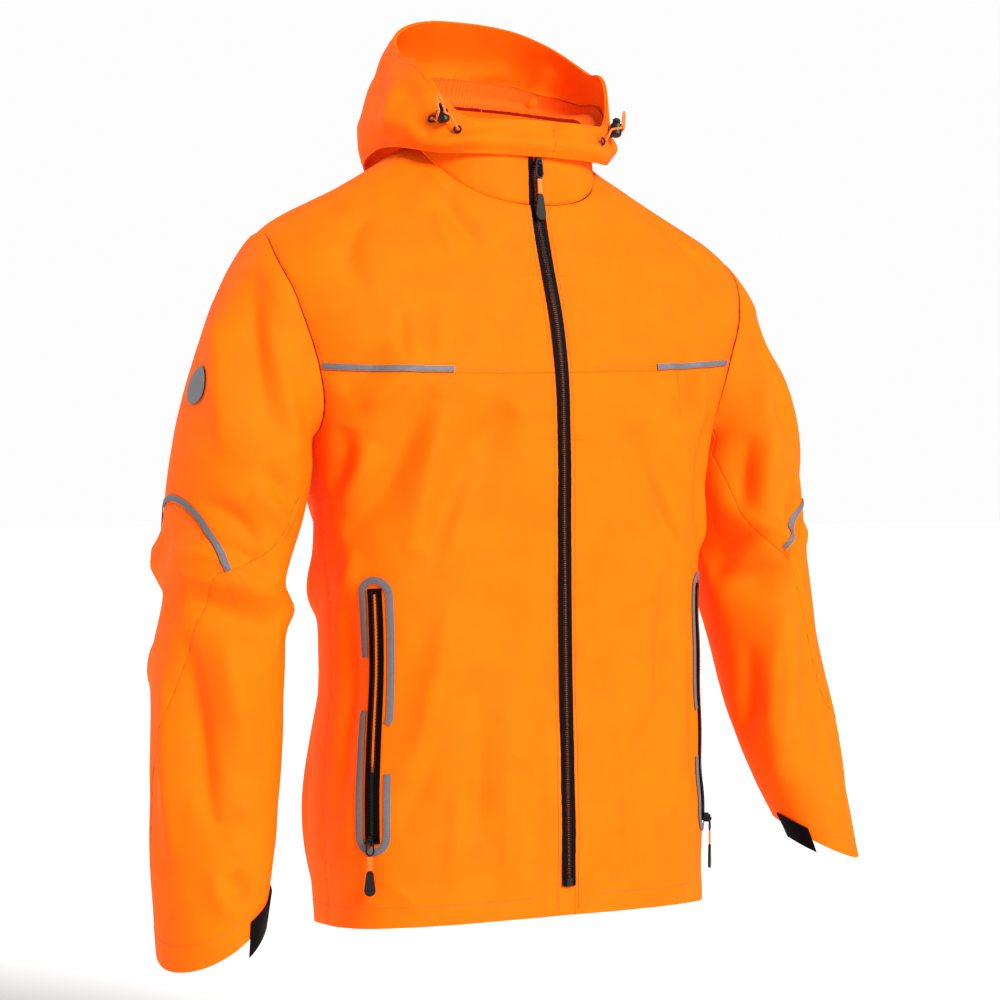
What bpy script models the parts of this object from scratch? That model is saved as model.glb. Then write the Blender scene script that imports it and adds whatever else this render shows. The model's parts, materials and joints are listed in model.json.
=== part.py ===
"""Hi-vis hooded work jacket: a hollow, worn form cut from cloth panels.

Metres, +Z up. The wearer faces -Y and the wearer's right is -X. The origin lies between the
shoulders, at the height where the garment rests on the wearer.
"""
import bpy
import bmesh
from math import asin, cos, degrees, exp, pi, radians, sin
from mathutils import Vector
from mathutils.bvhtree import BVHTree

# ---- driving dimensions -------------------------------------------------------------
SEAM_GAP = 0.0003        # clearance between pieces that meet
CLOTH = 0.0015           # bonded shell cloth
LINING = 0.0012          # mesh lining
TRIM = 0.0008            # reflective tape
SQUARENESS = 2.6         # superellipse exponent of the body rings
ZIP_HALF = 0.0078        # half width of the front zip band
ZIP_THICK = 0.0026
FRONT_COLUMNS = 9
BACK_COLUMNS = 18
SHARP_ANGLE = 35.0       # edges sharper than this are not shaded smooth, degrees
HARD_ROUGHNESS = 0.4
TAPE_ROUGHNESS = 0.5
RIGHT, LEFT = -1, 1      # the wearer's sides

ORANGE = (1.0, 0.22, 0.002, 1.0)
BLACK = (0.012, 0.012, 0.013, 1.0)
GREY = (0.27, 0.27, 0.28, 1.0)

# body rings from hem to neck: heights and depths at front, side and back, and half width
# columns: z_front, z_side, z_back, half_width, y_front, y_side, y_back
RINGS = (
    (-0.742, -0.752, -0.760, 0.208, -0.118, 0.000, 0.122),   # hem
    (-0.640, -0.642, -0.645, 0.213, -0.116, 0.000, 0.120),   # hip
    (-0.490, -0.490, -0.490, 0.206, -0.111, 0.000, 0.114),   # waist
    (-0.385, -0.385, -0.385, 0.211, -0.109, 0.000, 0.116),   # under the armhole
    (-0.270, -0.264, -0.270, 0.228, -0.108, 0.000, 0.122),   # armpit
    (-0.203, -0.190, -0.190, 0.255, -0.104, 0.004, 0.126),   # yoke seam
    (-0.148, -0.124, -0.134, 0.276, -0.093, 0.012, 0.126),   # chest
    (-0.104, -0.066, -0.078, 0.268, -0.078, 0.030, 0.120),   # shoulder tip
    (-0.064, -0.012, -0.014, 0.175, -0.063, 0.030, 0.112),   # mid shoulder
    (-0.032, 0.030, 0.040, 0.098, -0.053, 0.024, 0.098),     # neck seam
)
ARMPIT, YOKE, SHOULDER_TIP, NECK = 4, 5, 7, 9

YOKE_TILT = 0.036         # the yoke seam rises this much for each metre to the wearer's left
YOKE_TILT_REACH = 0.8     # levels over which that fades

# armhole: angles that it reaches in front of and behind the side line, degrees
ARMHOLE_FRONT, ARMHOLE_BACK = 24.0, 36.0
# places round the armhole, degrees above the horizontal; the second lies on the yoke seam
YOKE_TURN = degrees(asin((YOKE - (ARMPIT + SHOULDER_TIP) / 2) / ((SHOULDER_TIP - ARMPIT) / 2)))
ARMHOLE_TURNS = (-90.0, -68.0, -44.0, YOKE_TURN, 3.0, 26.0, 48.0, 69.0, 90.0)
BODY_LEVELS = (0.0, 0.22, 0.9, 1.6, 2.3, 3.0, 3.6)       # rows below the armpit
NECK_LEVELS = (7.6, 8.3, 9.0)                             # rows above the shoulder tip

# sleeve sections from upper arm to cuff: centre, half breadth sideways, half depth, and how far
# the outer side (tilt) and the front (pitch) of the section are turned down, degrees
# columns: x, y, z, half_breadth, half_depth, tilt, pitch
SLEEVE_RIGHT = (
    (-0.297, 0.016, -0.312, 0.065, 0.084, -12.0, 0.0),
    (-0.311, 0.018, -0.400, 0.060, 0.080, -4.0, 0.0),
    (-0.322, 0.012, -0.520, 0.062, 0.074, 0.0, 0.0),
    (-0.330, 0.004, -0.640, 0.060, 0.068, 10.0, 2.0),
    (-0.337, -0.006, -0.743, 0.060, 0.066, 33.0, 10.0),
)
SLEEVE_LEFT = (
    (0.288, 0.004, -0.312, 0.060, 0.078, -12.0, 0.0),
    (0.298, -0.004, -0.400, 0.058, 0.072, -4.0, 4.0),
    (0.308, -0.024, -0.520, 0.054, 0.064, 4.0, 10.0),
    (0.323, -0.044, -0.605, 0.055, 0.058, 10.0, 14.0),
    (0.342, -0.066, -0.690, 0.048, 0.052, 18.0, 16.0),
)
CAP_SHARE = 0.30          # share of the sleeve's length between armhole and first section
CAP_REACH = 0.14          # how far the sleeve cap runs on along the shoulder's slope
UPPER_ROWS, LOWER_ROWS = 7, 7
STRIP_SHARE = 0.365       # where the upper sleeve panel ends at its highest
STRIP_DROP = {RIGHT: 0.210, LEFT: 0.150}   # how much lower it ends a quarter turn away
STRIP_TWIST = {RIGHT: 0.0, LEFT: 35.0}     # how far the sleeve's seams are turned to the front
STRIP_LOWEST = -0.2       # sine of the angle below which that seam runs level
STRIP_FRONT = 0.480       # where it ends at the front seam
# the sleeve's two long seams: share of length, angle round the sleeve
FRONT_SEAM = ((0.0, -68.0), (0.15, -60.0), (0.31, -18.0), (0.40, 8.0), (0.50, 34.0),
              (0.62, 54.0), (0.74, 76.0), (0.80, 100.0), (1.0, 112.0))
BACK_SEAM = ((0.0, 248.0), (0.30, 215.0), (0.60, 185.0), (0.80, 162.0), (1.0, 150.0))
UNDER_STEPS = 4           # faces of the under sleeve in each face of the armhole

# hood rings, outward from the neck: radii of the plan ovals and heights by direction
# columns as in RINGS
HOOD_RINGS = (
    (0.018, 0.030, 0.002, 0.124, -0.053, 0.050, 0.154),      # lower edge
    (0.030, 0.048, 0.036, 0.130, -0.055, 0.050, 0.160),      # skirt
    (0.041, 0.074, 0.090, 0.126, -0.055, 0.048, 0.158),      # belly
    (0.049, 0.100, 0.142, 0.119, -0.054, 0.042, 0.142),      # shoulder of the hood
    (0.056, 0.122, 0.180, 0.111, -0.051, 0.034, 0.114),      # rim
)

HOOD_LEAN = 0.009

# collar, standing on the neck seam; columns as in RINGS
COLLAR_RINGS = (
    (-0.0305, 0.0315, 0.0415, 0.0975, -0.0528, 0.024, 0.0975),
    (0.0175, 0.068, 0.082, 0.094, -0.0500, 0.026, 0.088),
)


# ---- forms --------------------------------------------------------------------------
def smooth_between(rows, place):
    """A row of values read from a table by a smooth curve through its rows."""
    last = len(rows) - 1
    start = min(max(int(place), 0), last - 1)
    share = place - start
    before, here = rows[max(start - 1, 0)], rows[start]
    there, after = rows[start + 1], rows[min(start + 2, last)]
    values = []
    for a, b, c, d in zip(before, here, there, after):
        slope_in = (c - a) / 2 if start > 0 else c - b
        slope_out = (d - b) / 2 if start + 2 <= last else c - b
        values.append(b + share * (slope_in + share * (3 * (c - b) - 2 * slope_in - slope_out
                                                       + share * (slope_in + slope_out - 2 * (c - b)))))
    return values


def soft_step(value):
    """A smooth rise from 0 to 1."""
    value = min(max(value, 0.0), 1.0)
    return value * value * (3 - 2 * value)


def oval_point(ring, turn, flat_front=0.0):
    """A point on a ring. turn is in degrees from the front, negative on the wearer's right."""
    z_front, z_side, z_back, half_width, y_front, y_side, y_back = ring
    turn = (turn + 180.0) % 360.0 - 180.0
    across, along = sin(radians(turn)), cos(radians(turn))
    power = 2 / SQUARENESS
    x = half_width * abs(across) ** power * (1 if across > 0 else -1)
    share = abs(along) ** power
    if along > 0:
        y = y_side + (y_front - y_side) * share
        level = 1 - soft_step((abs(turn) - flat_front) / (90 - flat_front)) if flat_front else along
        return Vector((x, y, z_side + (z_front - z_side) * level))
    return Vector((x, y_side + (y_back - y_side) * share, z_side + (z_back - z_side) * abs(along)))


def body(turn, level):
    """The body's middle surface at an angle and a ring level."""
    point = oval_point(smooth_between(RINGS, level), turn)
    point.z += YOKE_TILT * point.x * exp(-((level - YOKE) / YOKE_TILT_REACH) ** 2)
    return point


def hood_lean(point, share):
    """The hood leans to the wearer's left towards its rim."""
    return point + Vector((HOOD_LEAN * max(share, 0.0) ** 2, 0.0, 0.0))


def hood(turn, level):
    """The hood's middle surface, from its lower edge (0) to its rim (4)."""
    return hood_lean(oval_point(smooth_between(HOOD_RINGS, level), turn, flat_front=38.0), level / 4)


def collar(turn, level):
    """The collar's middle surface, from the neck seam (0) to its top (1)."""
    return oval_point(smooth_between(COLLAR_RINGS, level), turn)


def normal_of(surface, a, b, step_a=0.4, step_b=0.01):
    """The surface's outward direction, from short steps both ways."""
    along_a = surface(a + step_a, b) - surface(a - step_a, b)
    along_b = surface(a, b + step_b) - surface(a, b - step_b)
    return along_a.cross(along_b).normalized()


def turn_at(ring, x):
    """The angle at which a ring is x to the side, on its front half."""
    share = min(abs(x) / ring[3], 1.0) ** (SQUARENESS / 2)
    return degrees(asin(share)) * (1 if x > 0 else -1)


def armhole(turn_round, side, lift=0.0):
    """A point of the armhole: 0 is its front, 90 its top, 270 the armpit."""
    level = (ARMPIT + SHOULDER_TIP) / 2 + (SHOULDER_TIP - ARMPIT) / 2 * sin(radians(turn_round))
    reach = ARMHOLE_FRONT if cos(radians(turn_round)) > 0 else ARMHOLE_BACK
    turn = side * (90 - reach * cos(radians(turn_round)))
    return body(turn, level) + normal_of(body, turn, level) * lift


def section_point(table, side, place, turn_round):
    """A point of a sleeve section: an oval, tilted about the front-to-back line."""
    x, y, z, half_breadth, half_depth, tilt, pitch = smooth_between(table, place)
    out = half_breadth * sin(radians(turn_round))
    ahead = half_depth * cos(radians(turn_round))
    drop = out * sin(radians(tilt)) + ahead * sin(radians(pitch))
    return Vector((x + side * out * cos(radians(tilt)), y - ahead * cos(radians(pitch)), z - drop))


def sleeve(table, side):
    """The sleeve's middle surface as a function of the angle round it and its share of length."""
    sections = len(table) - 1
    lift = CLOTH + SEAM_GAP

    def surface(turn_round, share):
        if share >= CAP_SHARE:
            return section_point(table, side, (share - CAP_SHARE) / (1 - CAP_SHARE) * sections, turn_round)
        s = share / CAP_SHARE
        start, end = armhole(turn_round, side, lift), section_point(table, side, 0.0, turn_round)
        small = 0.02
        run_in = (section_point(table, side, small, turn_round) - end) / small
        run_in *= CAP_SHARE / (1 - CAP_SHARE) * sections
        height = max(sin(radians(turn_round)), 0.0)
        away = Vector((side * (0.72 + 0.1 * height), 0.0, -0.62 + 0.02 * height)).normalized()
        run_out = away * ((end - start).length * (1 - height) + CAP_REACH * height)
        return (start * (2 * s ** 3 - 3 * s ** 2 + 1) + run_out * (s ** 3 - 2 * s ** 2 + s)
                + end * (3 * s ** 2 - 2 * s ** 3) + run_in * (s ** 3 - s ** 2))
    return surface


# ---- solids -------------------------------------------------------------------------
def clear_scene():
    """Remove what the file starts with."""
    for old in list(bpy.data.objects):
        bpy.data.objects.remove(old, do_unlink=True)


def dress(obj, colour, roughness):
    """Give an object its own material."""
    material = bpy.data.materials.new(obj.name + "_finish")
    material.use_nodes = True
    shader = material.node_tree.nodes["Principled BSDF"]
    shader.inputs["Base Color"].default_value = colour
    shader.inputs["Roughness"].default_value = roughness
    shader.inputs["Metallic"].default_value = 0.0
    material.diffuse_color = colour
    obj.data.materials.append(material)
    return obj


def finish_mesh(name, bm, colour, roughness=0.85):
    """Turn a bmesh into a named object with outward faces and its own material."""
    bmesh.ops.triangulate(bm, faces=[f for f in bm.faces if len(f.verts) > 3])
    bmesh.ops.recalc_face_normals(bm, faces=bm.faces)
    mesh = bpy.data.meshes.new(name)
    bm.to_mesh(mesh)
    bm.free()
    mesh.shade_smooth()
    mesh.set_sharp_from_angle(angle=radians(SHARP_ANGLE))
    obj = bpy.data.objects.new(name, mesh)
    bpy.context.scene.collection.objects.link(obj)
    return dress(obj, colour, roughness)


def sheet_solid(name, outer, inner, colour, roughness=0.85):
    """A cloth wall between two grids of points."""
    bm = bmesh.new()
    faces_out = [[bm.verts.new(p) for p in row] for row in outer]
    faces_in = [[bm.verts.new(p) for p in row] for row in inner]
    rows, columns = len(outer), len(outer[0])
    for grid, flip in ((faces_out, False), (faces_in, True)):
        for i in range(rows - 1):
            for j in range(columns - 1):
                loop = [grid[i][j], grid[i][j + 1], grid[i + 1][j + 1], grid[i + 1][j]]
                bm.faces.new(loop[::-1] if flip else loop)
    for i in (0, rows - 1):
        for j in range(columns - 1):
            bm.faces.new((faces_out[i][j], faces_out[i][j + 1], faces_in[i][j + 1], faces_in[i][j]))
    for j in (0, columns - 1):
        for i in range(rows - 1):
            bm.faces.new((faces_out[i][j], faces_out[i + 1][j], faces_in[i + 1][j], faces_in[i][j]))
    return finish_mesh(name, bm, colour, roughness)


def cloth_piece(name, surface, places, colour=ORANGE, thickness=CLOTH, move=0.0, free_edges=(), side=1):
    """A cloth wall on a surface. places is a grid of (angle, level); edges at seams draw back."""
    middle = [[surface(a, b) for a, b in row] for row in places]
    across = [[normal_of(surface, a, b) * side for a, b in row] for row in places]
    half = SEAM_GAP / 2

    def draw_back(i, j, k, m):
        middle[i][j] = middle[i][j] + (middle[k][m] - middle[i][j]).normalized() * half

    rows, columns = len(places), len(places[0])
    if "first_row" not in free_edges:
        for j in range(columns):
            draw_back(0, j, 1, j)
    if "last_row" not in free_edges:
        for j in range(columns):
            draw_back(rows - 1, j, rows - 2, j)
    for i in range(rows):
        draw_back(i, 0, i, 1)
        draw_back(i, columns - 1, i, columns - 2)
    outer = [[p + n * (move + thickness / 2) for p, n in zip(r, t)] for r, t in zip(middle, across)]
    inner = [[p + n * (move - thickness / 2) for p, n in zip(r, t)] for r, t in zip(middle, across)]
    return sheet_solid(name, outer, inner, colour)


# ---- body panels --------------------------------------------------------------------
def spread(start, end, steps):
    """Evenly spaced values from start to end."""
    return [start + (end - start) * i / steps for i in range(steps + 1)]


def armhole_levels():
    middle, half = (ARMPIT + SHOULDER_TIP) / 2, (SHOULDER_TIP - ARMPIT) / 2
    return [(middle + half * sin(radians(turn)), turn) for turn in ARMHOLE_TURNS]


def level_rows():
    """Levels from hem to neck, each with how far the armhole opens there, from 0 to 1."""
    rows = [(level, 0.0) for level in BODY_LEVELS]
    rows += [(level, max(cos(radians(turn)), 0.0)) for level, turn in armhole_levels()]
    rows += [(level, 0.0) for level in NECK_LEVELS]
    return rows


def front_places(side, rows):
    """Angles and levels of a front panel, from the zip to the side or the armhole."""
    places = []
    for level, opening in rows:
        inner = turn_at(smooth_between(RINGS, level), side * (ZIP_HALF + SEAM_GAP / 2))
        outer = side * (90 - ARMHOLE_FRONT * opening)
        places.append([(a, level) for a in spread(inner, outer, FRONT_COLUMNS)])
    return places


def build_body():
    rows = level_rows()
    yoke = next(i for i, row in enumerate(rows) if abs(row[0] - YOKE) < 0.001)
    for side, word in ((RIGHT, "right"), (LEFT, "left")):
        lower, upper = front_places(side, rows[:yoke + 1]), front_places(side, rows[yoke:])
        cloth_piece("front_" + word, body, lower, free_edges=("first_row",))
        cloth_piece("yoke_" + word, body, upper)
    places = []
    for level, opening in rows:
        start, end = 90 + ARMHOLE_BACK * opening, 270 - ARMHOLE_BACK * opening
        places.append([(a, level) for a in spread(start, end, BACK_COLUMNS)])
    cloth_piece("back", body, places, free_edges=("first_row",))


# ---- sleeves ------------------------------------------------------------------------
def read_seam(table, share):
    """The angle of a sleeve seam at a share of the sleeve's length."""
    for (s0, a0), (s1, a1) in zip(table, table[1:]):
        if share <= s1:
            return a0 + (a1 - a0) * (share - s0) / (s1 - s0)
    return table[-1][1]


def row_share(side, row, turn_round):
    """Where a sleeve row lies along the sleeve at an angle; row UPPER_ROWS is the strip seam."""
    height = max(sin(radians(turn_round + STRIP_TWIST[side])), STRIP_LOWEST)
    seam = STRIP_SHARE + STRIP_DROP[side] * (1 - height)
    if row <= UPPER_ROWS:
        return seam * row / UPPER_ROWS
    return seam + (1 - seam) * (row - UPPER_ROWS) / LOWER_ROWS


def nominal_share(row):
    """The share of the sleeve's length at which a row's end angles are read."""
    if row <= UPPER_ROWS:
        return STRIP_FRONT * row / UPPER_ROWS
    return STRIP_FRONT + (1 - STRIP_FRONT) * (row - UPPER_ROWS) / LOWER_ROWS


def sleeve_angles(side, row, outer):
    """The angles of a row's points, on the outer panels or on the under sleeve."""
    share = nominal_share(row)
    front, back = read_seam(FRONT_SEAM, share), read_seam(BACK_SEAM, share)
    if outer:
        turns = list(ARMHOLE_TURNS[1:]) + [180 - t for t in ARMHOLE_TURNS[-2:0:-1]]
    else:
        corners = [248.0, 270.0, 292.0]
        turns = [a + (b - a) * i / UNDER_STEPS for a, b in zip(corners, corners[1:])
                 for i in range(UNDER_STEPS)] + [corners[-1]]
        front, back = back, front + 360
    even = spread(front, back, len(turns) - 1)
    weight = soft_step(row / 3)
    first, last = turns[0], turns[-1]
    stretched = [front + (t - first) / (last - first) * (back - front) for t in turns]
    twist = STRIP_TWIST[side] * soft_step(row / UPPER_ROWS)
    return [a + (b - a) * weight - twist for a, b in zip(stretched, even)]


def build_sleeves():
    rows = UPPER_ROWS + LOWER_ROWS
    for side, word, table in ((RIGHT, "right", SLEEVE_RIGHT), (LEFT, "left", SLEEVE_LEFT)):
        surface = sleeve(table, side)

        def places(start, end, outer):
            return [[(a, row_share(side, row, a)) for a in sleeve_angles(side, row, outer)]
                    for row in range(start, end + 1)]
        cloth_piece("sleeve_upper_" + word, surface, places(0, UPPER_ROWS, True), side=-side,
                    free_edges=("first_row",))
        cloth_piece("sleeve_lower_" + word, surface, places(UPPER_ROWS, rows, True), side=-side,
                    free_edges=("last_row",))
        cloth_piece("sleeve_under_" + word, surface, places(0, rows, False), side=-side,
                    free_edges=("first_row", "last_row"))


# ---- hood and collar ----------------------------------------------------------------
HOOD_SEAM = 163.0         # angle of the seams beside the hood's back panel
CHIN_JOINT = 0.018        # the hood's front joint lies this far to the wearer's left
LEFT_COLUMNS, RIGHT_COLUMNS = 12, 13       # faces round each half of the hood
COLLAR_COLUMNS = 20
FACING_ROW = 4            # row of the hood where the rim's facing ends and the lining starts
INSIDE = CLOTH + 0.0005   # how far the facing lies behind the hood's middle surface
INSIDE_START = 2          # columns beside the front joint that the inner layers leave bare
# lining of the hood, from under the facing to the collar's top; columns as in RINGS
LINING_RINGS = (
    (0.0450, 0.0890, 0.1240, 0.1140, -0.0480, 0.042, 0.1380),
    (0.0420, 0.0790, 0.1020, 0.1150, -0.0475, 0.042, 0.1400),
    (0.0360, 0.0780, 0.0920, 0.1080, -0.0470, 0.038, 0.1250),
)
LINING_LIFT = 0.0025      # the lining ends this far above the collar's top


def lining(turn, level):
    """The lining's middle surface, from the facing (3) down to the collar's top (0)."""
    if level >= 1.0:
        ring = smooth_between(LINING_RINGS[::-1], level - 1.0)
        return hood_lean(oval_point(ring, turn, flat_front=38.0), level / 4)
    foot = collar(turn, 1.0) + Vector((0.0, 0.0, LINING_LIFT))
    return foot.lerp(lining(turn, 1.0), max(level, 0.0))


def build_hood():
    zip_edge = turn_at(COLLAR_RINGS[0], ZIP_HALF + SEAM_GAP)
    collar_turns = spread(zip_edge, 360 - zip_edge, COLLAR_COLUMNS)
    cloth_piece("collar", collar, [[(a, i / 3) for a in collar_turns] for i in range(4)],
                free_edges=("last_row",))
    levels = spread(0, 4, 6)
    edges = ("first_row", "last_row")

    def joint(level):
        return turn_at(smooth_between(HOOD_RINGS, level), CHIN_JOINT)

    def left(level):
        return spread(joint(level), HOOD_SEAM, LEFT_COLUMNS)

    def right(level):
        return spread(joint(level), -HOOD_SEAM, RIGHT_COLUMNS)

    back = spread(HOOD_SEAM, 360 - HOOD_SEAM, 4)
    cloth_piece("hood_left", hood, [[(a, b) for a in left(b)] for b in levels], free_edges=edges)
    cloth_piece("hood_right", hood, [[(a, b) for a in right(b)] for b in levels], free_edges=edges)
    cloth_piece("hood_back", hood, [[(a, b) for a in back] for b in levels], free_edges=edges)

    def inside(level):
        whole = left(level) + back[1:-1] + [a + 360 for a in right(level)[::-1]]
        return whole[INSIDE_START:-INSIDE_START]

    cloth_piece("hood_facing", hood, [[(a, b) for a in inside(b)] for b in levels[FACING_ROW:]],
                move=-INSIDE, free_edges=("last_row",))
    turns = inside(levels[FACING_ROW])
    cloth_piece("hood_lining", lining, [[(a, b) for a in turns] for b in spread(0, 3, 4)],
                thickness=LINING)


# ---- trims laid on the cloth --------------------------------------------------------
PROUD = 0.0008            # clearance of a trim over the faceted cloth below it
STRIP_LIFT = 0.062        # levels by which a chest strip lies above the yoke seam
STRIP_WIDTH = 0.0058      # reflective tape on chest and sleeves
STRIP_RISE = 0.010        # share of the sleeve's length by which its strip lies above the seam
CHEST_TURNS = {RIGHT: (65.5, 22.0), LEFT: (58.0, 21.0)}        # outer and inner end of each chest strip
SLEEVE_TURNS = {RIGHT: (150.0, 26.0), LEFT: (118.0, -6.0)}     # back and front end of each sleeve strip
SLEEVE_STEPS = 30         # faces along a sleeve strip
PIPING_WIDTH = 0.0070     # reflective tape round the pockets
PIPING_HALF = 0.0142      # its middle line beside the pocket's line
PIPING_LEG = 0.062        # length of its short legs
PIPING_FACES = 8          # faces round each of its bends
STUB_ACROSS, STUB_DROP = 0.0020, 0.006      # slanted ends where the two hooks pass
POCKET_TURN = 61.0        # angle of the pocket round the body
POCKET_TOP, POCKET_FOOT = -0.408, -0.672
POCKET_BAND = 0.0150      # width of the black pocket zip band
POCKET_BAND_THICK = 0.0016
POCKET_BAND_INSET = 0.008 # its ends lie this far inside the piping
POCKET_BAND_FACES = 12


def trees_of(names):
    """The outer faces of named cloth pieces, ready for rays."""
    corners, faces = [], []
    for name in names:
        mesh = bpy.data.objects[name].data
        start = len(corners)
        corners += [v.co.copy() for v in mesh.vertices]
        faces += [[start + i for i in p.vertices] for p in mesh.polygons]
    return BVHTree.FromPolygons(corners, faces)


def seat(tree, point, direction):
    """Drop a point on the cloth from outside, along a direction."""
    hit, _, _, _ = tree.ray_cast(point + direction * 0.03, -direction, 0.06)
    return hit if hit else point


def ribbon(name, tree, surface, path, width, colour, thickness=TRIM, sign=1):
    """A flat tape on cloth. path is a list of (angle, level) pairs on the middle surface."""
    outer, inner = [], []
    last = len(path) - 1
    for i, (a, b) in enumerate(path):
        here, n = surface(a, b), normal_of(surface, a, b) * sign
        ahead = surface(*path[min(i + 1, last)]) - surface(*path[max(i - 1, 0)])
        across = n.cross(ahead).normalized() * (width / 2)
        row_out, row_in = [], []
        for share in (-1, 0, 1):
            base = seat(tree, here + across * share, n)
            row_in.append(base + n * PROUD)
            row_out.append(base + n * (PROUD + thickness))
        outer.append(row_out)
        inner.append(row_in)
    return sheet_solid(name, outer, inner, colour, TAPE_ROUGHNESS)


def level_at(turn, z):
    """The body level at a height, below the yoke."""
    low, high = 0.0, float(YOKE)
    for _ in range(30):
        middle = (low + high) / 2
        if body(turn, middle).z < z:
            low = middle
        else:
            high = middle
    return low


def pocket_place(side, across, z):
    """A body place beside the pocket's line; across is in metres towards the zip."""
    level = level_at(POCKET_TURN, z)
    step = (body(POCKET_TURN, level) - body(POCKET_TURN - 1, level)).length
    return side * (POCKET_TURN - across / step), level_at(side * POCKET_TURN, z)


def arc(centre_across, centre_z, radius, start, end, steps):
    """Points of a circular arc; 0 degrees is towards the zip, 90 is up."""
    return [(centre_across + radius * cos(radians(a)), centre_z + radius * sin(radians(a)))
            for a in spread(start, end, steps)]


def build_trims():
    for side, word in ((RIGHT, "right"), (LEFT, "left")):
        tree = trees_of(["front_" + word, "yoke_" + word])
        chest = trees_of(["yoke_" + word])
        turns = [side * turn for turn in spread(*CHEST_TURNS[side], 10)]
        ribbon("chest_strip_" + word, chest, body, [(a, YOKE + STRIP_LIFT) for a in turns],
               STRIP_WIDTH, GREY)
        table = SLEEVE_RIGHT if side == RIGHT else SLEEVE_LEFT
        arm = sleeve(table, side)
        arm_tree = trees_of(["sleeve_upper_" + word])
        turns = spread(*SLEEVE_TURNS[side], SLEEVE_STEPS)
        path = [(a, row_share(side, UPPER_ROWS, a) - STRIP_RISE) for a in turns]
        ribbon("sleeve_strip_" + word, arm_tree, arm, path, STRIP_WIDTH, GREY, sign=-side)
        build_pocket(side, word, tree)
    build_badge()


def build_pocket(side, word, tree):
    """Piping in two hooks that pass each other, and the black zip band between them."""
    half = PIPING_HALF
    top, foot = POCKET_TOP - half, POCKET_FOOT + half
    middle = (top + foot) / 2
    upper = [(-half, top - PIPING_LEG), (-half, top - PIPING_LEG / 2)]
    upper += arc(0.0, top, half, 180, 0, PIPING_FACES)
    upper += [(half, z) for z in spread(top - 0.02, middle - 0.002, 6)]
    upper += [(half - STUB_ACROSS, middle - 0.002 - STUB_DROP)]
    lower = [(-half + STUB_ACROSS, middle - 0.002 + STUB_DROP), (-half, middle - 0.002)]
    lower += [(-half, z) for z in spread(middle - 0.02, foot + 0.02, 5)]
    lower += arc(0.0, foot, half, 180, 360, PIPING_FACES)
    lower += [(half, foot + PIPING_LEG / 2), (half, foot + PIPING_LEG)]
    for label, path in (("upper", upper), ("lower", lower)):
        ribbon("pocket_piping_" + label + "_" + word, tree, body,
               [pocket_place(side, a, z) for a, z in path], PIPING_WIDTH, GREY)
    ends = POCKET_TOP - POCKET_BAND_INSET, POCKET_FOOT + POCKET_BAND_INSET
    line = [pocket_place(side, 0.0, z) for z in spread(*ends, POCKET_BAND_FACES)]
    ribbon("pocket_zip_" + word, tree, body, line, POCKET_BAND, BLACK, thickness=POCKET_BAND_THICK)


BADGE_TURN, BADGE_SHARE, BADGE_RADIUS = 80.0, 0.200, 0.0190
BADGE_SIDES = 16


def build_badge():
    """The bare round reflective patch on the right upper sleeve."""
    arm = sleeve(SLEEVE_RIGHT, RIGHT)
    tree = trees_of(["sleeve_upper_right"])
    centre = arm(BADGE_TURN, BADGE_SHARE)
    n = normal_of(arm, BADGE_TURN, BADGE_SHARE)
    up = (arm(BADGE_TURN, BADGE_SHARE - 0.02) - centre).normalized()
    aside = n.cross(up)
    rows_out, rows_in = [], []
    for share in (0.0, 0.5, 1.0):
        ring_out, ring_in = [], []
        for k in range(BADGE_SIDES):
            angle = 2 * pi * k / BADGE_SIDES
            flat = aside * cos(angle) + up * sin(angle)
            base = seat(tree, centre + flat * (BADGE_RADIUS * max(share, 0.02)), n)
            ring_in.append(base + n * PROUD)
            ring_out.append(base + n * (PROUD + TRIM))
        rows_out.append(ring_out)
        rows_in.append(ring_in)
    bm = bmesh.new()
    grids = [[[bm.verts.new(p) for p in ring] for ring in rows[1:]] for rows in (rows_out, rows_in)]
    poles = [bm.verts.new(sum(rows[0], Vector()) / BADGE_SIDES) for rows in (rows_out, rows_in)]
    for grid, pole in zip(grids, poles):
        for k in range(BADGE_SIDES):
            m = (k + 1) % BADGE_SIDES
            bm.faces.new((pole, grid[0][k], grid[0][m]))
            bm.faces.new((grid[0][k], grid[1][k], grid[1][m], grid[0][m]))
    for k in range(BADGE_SIDES):
        m = (k + 1) % BADGE_SIDES
        bm.faces.new((grids[0][1][k], grids[0][1][m], grids[1][1][m], grids[1][1][k]))
    finish_mesh("sleeve_badge", bm, GREY, TAPE_ROUGHNESS)


# ---- front zip ----------------------------------------------------------------------
COIL_HALF = 0.0019
TAPE_THICK = 0.0012
ZIP_FOOT = 0.30           # body level of the zip's lower end
FLAP_HALF = 0.016         # half width of the wind flap behind the zip
FLAP_BACK = 0.0040        # how far behind the zip the flap lies


def zip_rows(start):
    """Depth and height of the front line from a body level up to the collar's top."""
    levels = [start] + [level for level, _ in level_rows() if level > start + 0.01]
    points = [body(0.0, level) for level in levels]
    points += [collar(0.0, i / 3) for i in range(1, 4)]
    return points


def strip_down_front(name, start, left, right, front, back, colour):
    """A band along the front line, between two side places and two depths."""
    points = zip_rows(start)
    last = len(points) - 1
    outer, inner = [], []
    for i, p in enumerate(points):
        along = points[min(i + 1, last)] - points[max(i - 1, 0)]
        n = Vector((1, 0, 0)).cross(along).normalized()
        outer.append([p + Vector((x, 0, 0)) + n * front for x in (left, right)])
        inner.append([p + Vector((x, 0, 0)) + n * back for x in (left, right)])
    return sheet_solid(name, outer, inner, colour, TAPE_ROUGHNESS)


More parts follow.
